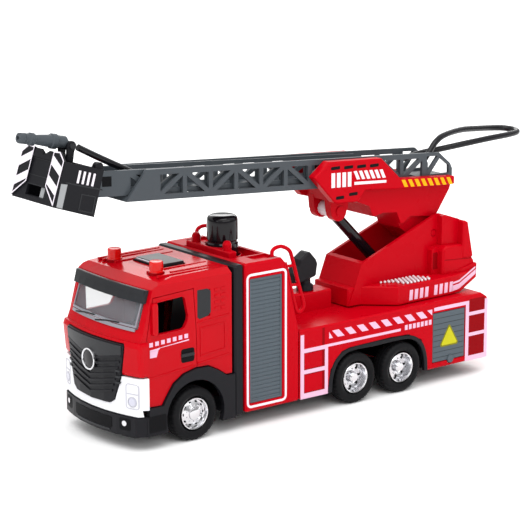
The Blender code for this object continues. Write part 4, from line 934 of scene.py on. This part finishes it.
def nozzle():
    px, pz = NOZZLE_PIN
    lean = (math.cos(NOZZLE_TILT), math.sin(NOZZLE_TILT))
    foot, head = (px, 0, pz + 1.2), (px + 40 * lean[0], 0, pz + 40 * lean[1] + 1.2)
    barrel = [(0, 22.5), (0.9, 22.6), (0.95, 26.1), (1.9, 26.1), (2.3, 25.8), (2.5, 25.2), (2.5, 23.4)]
    barrel += [(2.2, 23.2), (2.2, 22.8), (2.5, 22.6), (2.55, 20.6), (2.95, 20.3), (2.95, 18.2), (2.2, 17.6)]
    barrel += [(2.95, 9.2), (3.5, 8.8), (3.55, 6.4), (3.0, 5.6), (2.9, 1.4), (2.6, 1.0), (0, 1.0)]
    gun = lathe("nozzle_barrel", barrel, foot, head, GREY, "water_gun", 56)
    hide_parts("nozzle")
    knuckle = [(0, 2.4), (2.0, 2.4), (2.2, 2.2), (2.2, -2.2), (2.0, -2.4), (0, -2.4)]
    lathe("nozzle_knuckle", knuckle, (px, 0, pz), (px, 10, pz), BLACK, "water_gun", 40)
    cheek = [(116.9, 133.5), (120.1, 134.6), (119.9, 140.6)]
    cheek += arc(NOZZLE_PIN, 2.4, 0, 180, 8) + [(116.2, 138.2)]
    foot_shape = [(116.9, 133.5), (120.1, 134.6), (120.0, 136.6), (116.4, 136.6)]
    bridge = flat("yoke_bridge", [foot_shape], SIDE_PLANE, -4.2, 4.2, BLACK, "cage", 0.3)
    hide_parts("nozzle_yoke")
    bolt = [(0, 0.7), (1.3, 0.6), (1.5, 0.0), (0, 0.0)]
    for side, word in SIDES:
        lo, hi = sorted((side * 2.8, side * 4.25))
        flat("yoke_cheek_" + word, [cheek], SIDE_PLANE, lo, hi, BLACK, "cage", 0.35)
        lathe("yoke_bolt_" + word, bolt, (px, side * 4.2, pz), (px, side * 9, pz), CHARCOAL, "cage", 32)


# ---- studio ------------------------------------------------------------------------------------

def aim(lamp, place, target):
    lamp.location = place
    lamp.rotation_mode = "QUATERNION"
    lamp.rotation_quaternion = (Vector(target) - Vector(place)).to_track_quat("-Z", "Y")


def softbox(name, place, target, size, power):
    data = bpy.data.lights.new(name, "AREA")
    data.shape = "RECTANGLE"
    data.size, data.size_y = size
    data.energy = power
    lamp = bpy.data.objects.new(name, data)
    scene.collection.objects.link(lamp)
    aim(lamp, place, target)


def sky():
    """White overhead and dimmer towards the horizon."""
    dome = bpy.data.worlds.new("studio")
    dome.use_nodes = True
    nodes, links = dome.node_tree.nodes, dome.node_tree.links
    background = nodes["Background"]
    background.inputs["Color"].default_value = (1.0, 1.0, 1.0, 1.0)
    place = nodes.new("ShaderNodeTexCoord")
    split = nodes.new("ShaderNodeSeparateXYZ")
    fade = nodes.new("ShaderNodeMapRange")
    fade.inputs["From Min"].default_value = 0.05
    fade.inputs["From Max"].default_value = 0.5
    fade.inputs["To Min"].default_value = 0.25
    fade.inputs["To Max"].default_value = 1.1
    links.new(place.outputs["Generated"], split.inputs["Vector"])
    links.new(split.outputs["Z"], fade.inputs["Value"])
    links.new(fade.outputs["Result"], background.inputs["Strength"])
    scene.world = dome


def studio():
    sky()
    mesh = bpy.data.meshes.new("floor")
    bm = bmesh.new()
    bmesh.ops.create_grid(bm, x_segments=1, y_segments=1, size=8.0)
    bm.to_mesh(mesh)
    bm.free()
    floor = bpy.data.objects.new("floor", mesh)
    scene.collection.objects.link(floor)
    paint(floor, PAPER)
    sun = bpy.data.lights.new("overhead", "SUN")
    sun.energy = 1.5
    sun.angle = math.radians(50)
    lamp = bpy.data.objects.new("overhead", sun)
    scene.collection.objects.link(lamp)
    aim(lamp, (0.35, 0.45, 1.2), (0, 0, 0))
    softbox("side_strip", (0.15, 1.1, 0.55), (0, 0, 0.07), (1.2, 0.25), 1.6)
    softbox("nose_strip", (1.2, 0.1, 0.5), (0.05, 0, 0.06), (0.5, 0.25), 1.2)
    softbox("far_top", (-0.7, -0.9, 0.55), (0, 0, 0.08), (0.9, 0.35), 3.0)
    scene.view_settings.view_transform = "Standard"


camera()
hoses()
plain_pieces()
wheels()
arch_trims()
step_frames()
side_prints()
shutters()
flaps()
grab_ladders()
doors()
cab_sides()
roof()
grille()
lamps()
screen_trim()
pump()
monitor()
turntable()
fly_pockets()
boom_plates()
basket()
nozzle()
studio()
